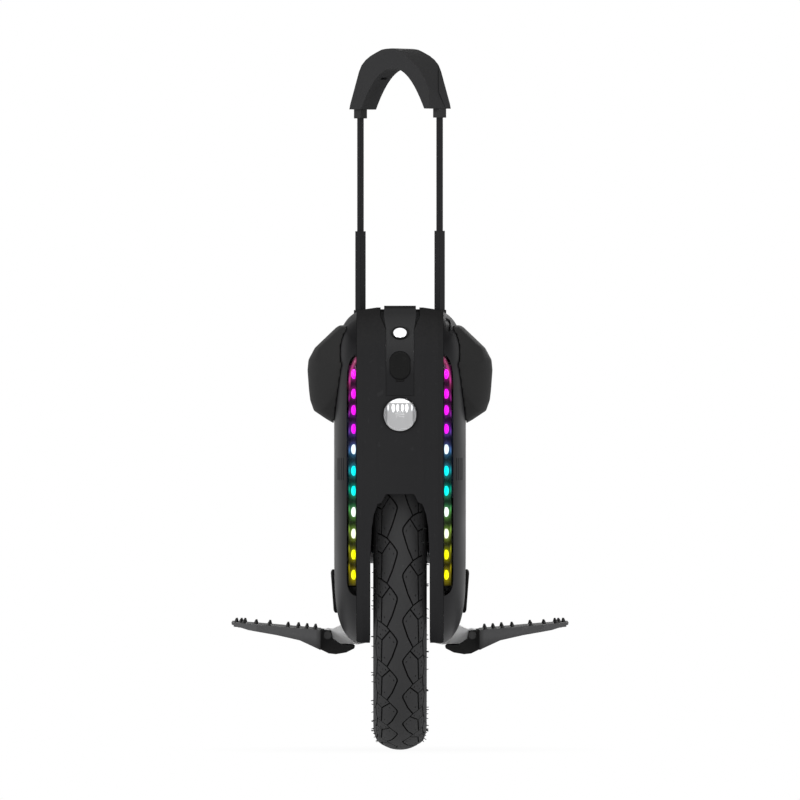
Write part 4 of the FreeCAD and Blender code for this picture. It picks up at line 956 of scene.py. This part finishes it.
# Rim and hub motor: black anodised castings screwed together round the axle, with copper and
# iron inside. The batteries and the controller's heat sink sit in the shell above the wheel.
hub_black = finish("hub_black", (0.020, 0.020, 0.021), (0.035, 0.035, 0.036), (0.3, 0.45),
                   metal=0.7, specular=0.5)
plain_steel = finish("plain_steel", (0.42, 0.42, 0.43), (0.55, 0.55, 0.56), (0.25, 0.42), metal=1.0,
                     specular=0.5, grain=2400.0, depth=0.00001)
tube_rubber = finish("tube_rubber", (0.012, 0.012, 0.012), (0.020, 0.020, 0.020), (0.5, 0.65))
iron_grey = finish("iron_grey", (0.10, 0.10, 0.11), (0.17, 0.17, 0.18), (0.4, 0.55), metal=0.8)
copper_red = finish("copper_red", (0.42, 0.15, 0.06), (0.55, 0.22, 0.09), (0.25, 0.4), metal=1.0)
pack_blue = finish("pack_blue", (0.025, 0.05, 0.17), (0.04, 0.08, 0.24), (0.25, 0.4))
sink_grey = finish("sink_grey", (0.40, 0.40, 0.41), (0.52, 0.52, 0.53), (0.35, 0.5),
                   metal=1.0, grain=1500.0)
dress(hub_black, "rim", "motor_cover_left", "motor_cover_right")
dress(plain_steel, "cover_screws", "valve_stem", "wheel_bearings", "axle", "axle_nuts", "rotor_magnets")
dress(tube_rubber, "inner_tube")
dress(iron_grey, "stator_core")
dress(copper_red, "stator_windings")
dress(pack_blue, "battery_left", "battery_right")
dress(sink_grey, "heat_sink")

# Pedals: dark coated castings that fold up on steel pins, studded on top, hung from bright
# blasted castings that reach down from the axle. The coat is darker at the hinge. Below the
# tread's edge and on the tread's upward faces the colour is painted darker as painted shade.
tread_rise = 0.1246
tread_foot = 0.113
painted_shade_edge = (0.006, 0.022)
knuckle_edge = (0.087, 0.080)
hanger_silver = finish("hanger_silver", (0.88, 0.88, 0.88), (0.95, 0.95, 0.95), (0.5, 0.62), grain=1400.0,
                       depth=0.00004, specular=0.4)
pedal_grey = finish("pedal_grey", (0.078, 0.078, 0.080), (0.098, 0.098, 0.100), (0.60, 0.72), grain=1300.0,
                    depth=0.00005, specular=0.10)
tree = pedal_grey.node_tree
spot = axes(tree, object_spot(tree))
aside = calc(tree, "ABSOLUTE", spot["X"])
# Painted shade: the casting is painted darker below the line of the tread's edge.
below = calc(tree, "SUBTRACT", calc(tree, "MULTIPLY_ADD", aside, tread_rise, tread_foot), spot["Z"])
toned(pedal_grey, scaled(tree, below, *painted_shade_edge), (0.030, 0.030, 0.030))
toned(pedal_grey, scaled(tree, aside, *knuckle_edge), (0.018, 0.018, 0.018))
# Painted shade: the tread's upward faces are painted darker.
toned(pedal_grey, facing_up(pedal_grey, 0.6, 0.9), (0.020, 0.020, 0.020))
stud_dark = finish("stud_dark", (0.022, 0.022, 0.022), (0.04, 0.04, 0.04), (0.4, 0.55), metal=0.3)
dress(hanger_silver, "hanger_left", "hanger_right")
dress(pedal_grey, "pedal_left", "pedal_right")
dress(stud_dark, "pedal_studs_left", "pedal_studs_right", "hinge_pins")

# Trolley: satin black tubes and rods stand on a diagonal and slide into guides in the shell.
# Moulded collars hold a moulded grip on the ends of the rods.
tube_black = finish("tube_black", (0.006, 0.006, 0.007), (0.009, 0.009, 0.010), (0.55, 0.66), grain=2000.0,
                    depth=0.00001, specular=0.14)
grip_black = finish("grip_black", (0.032, 0.032, 0.033), (0.040, 0.040, 0.041), (0.64, 0.74), specular=0.03)
dress(tube_black, "outer_tube_left", "outer_tube_right", "inner_rod_left", "inner_rod_right")
dress(grip_black, "handle_grip", "rod_collars")
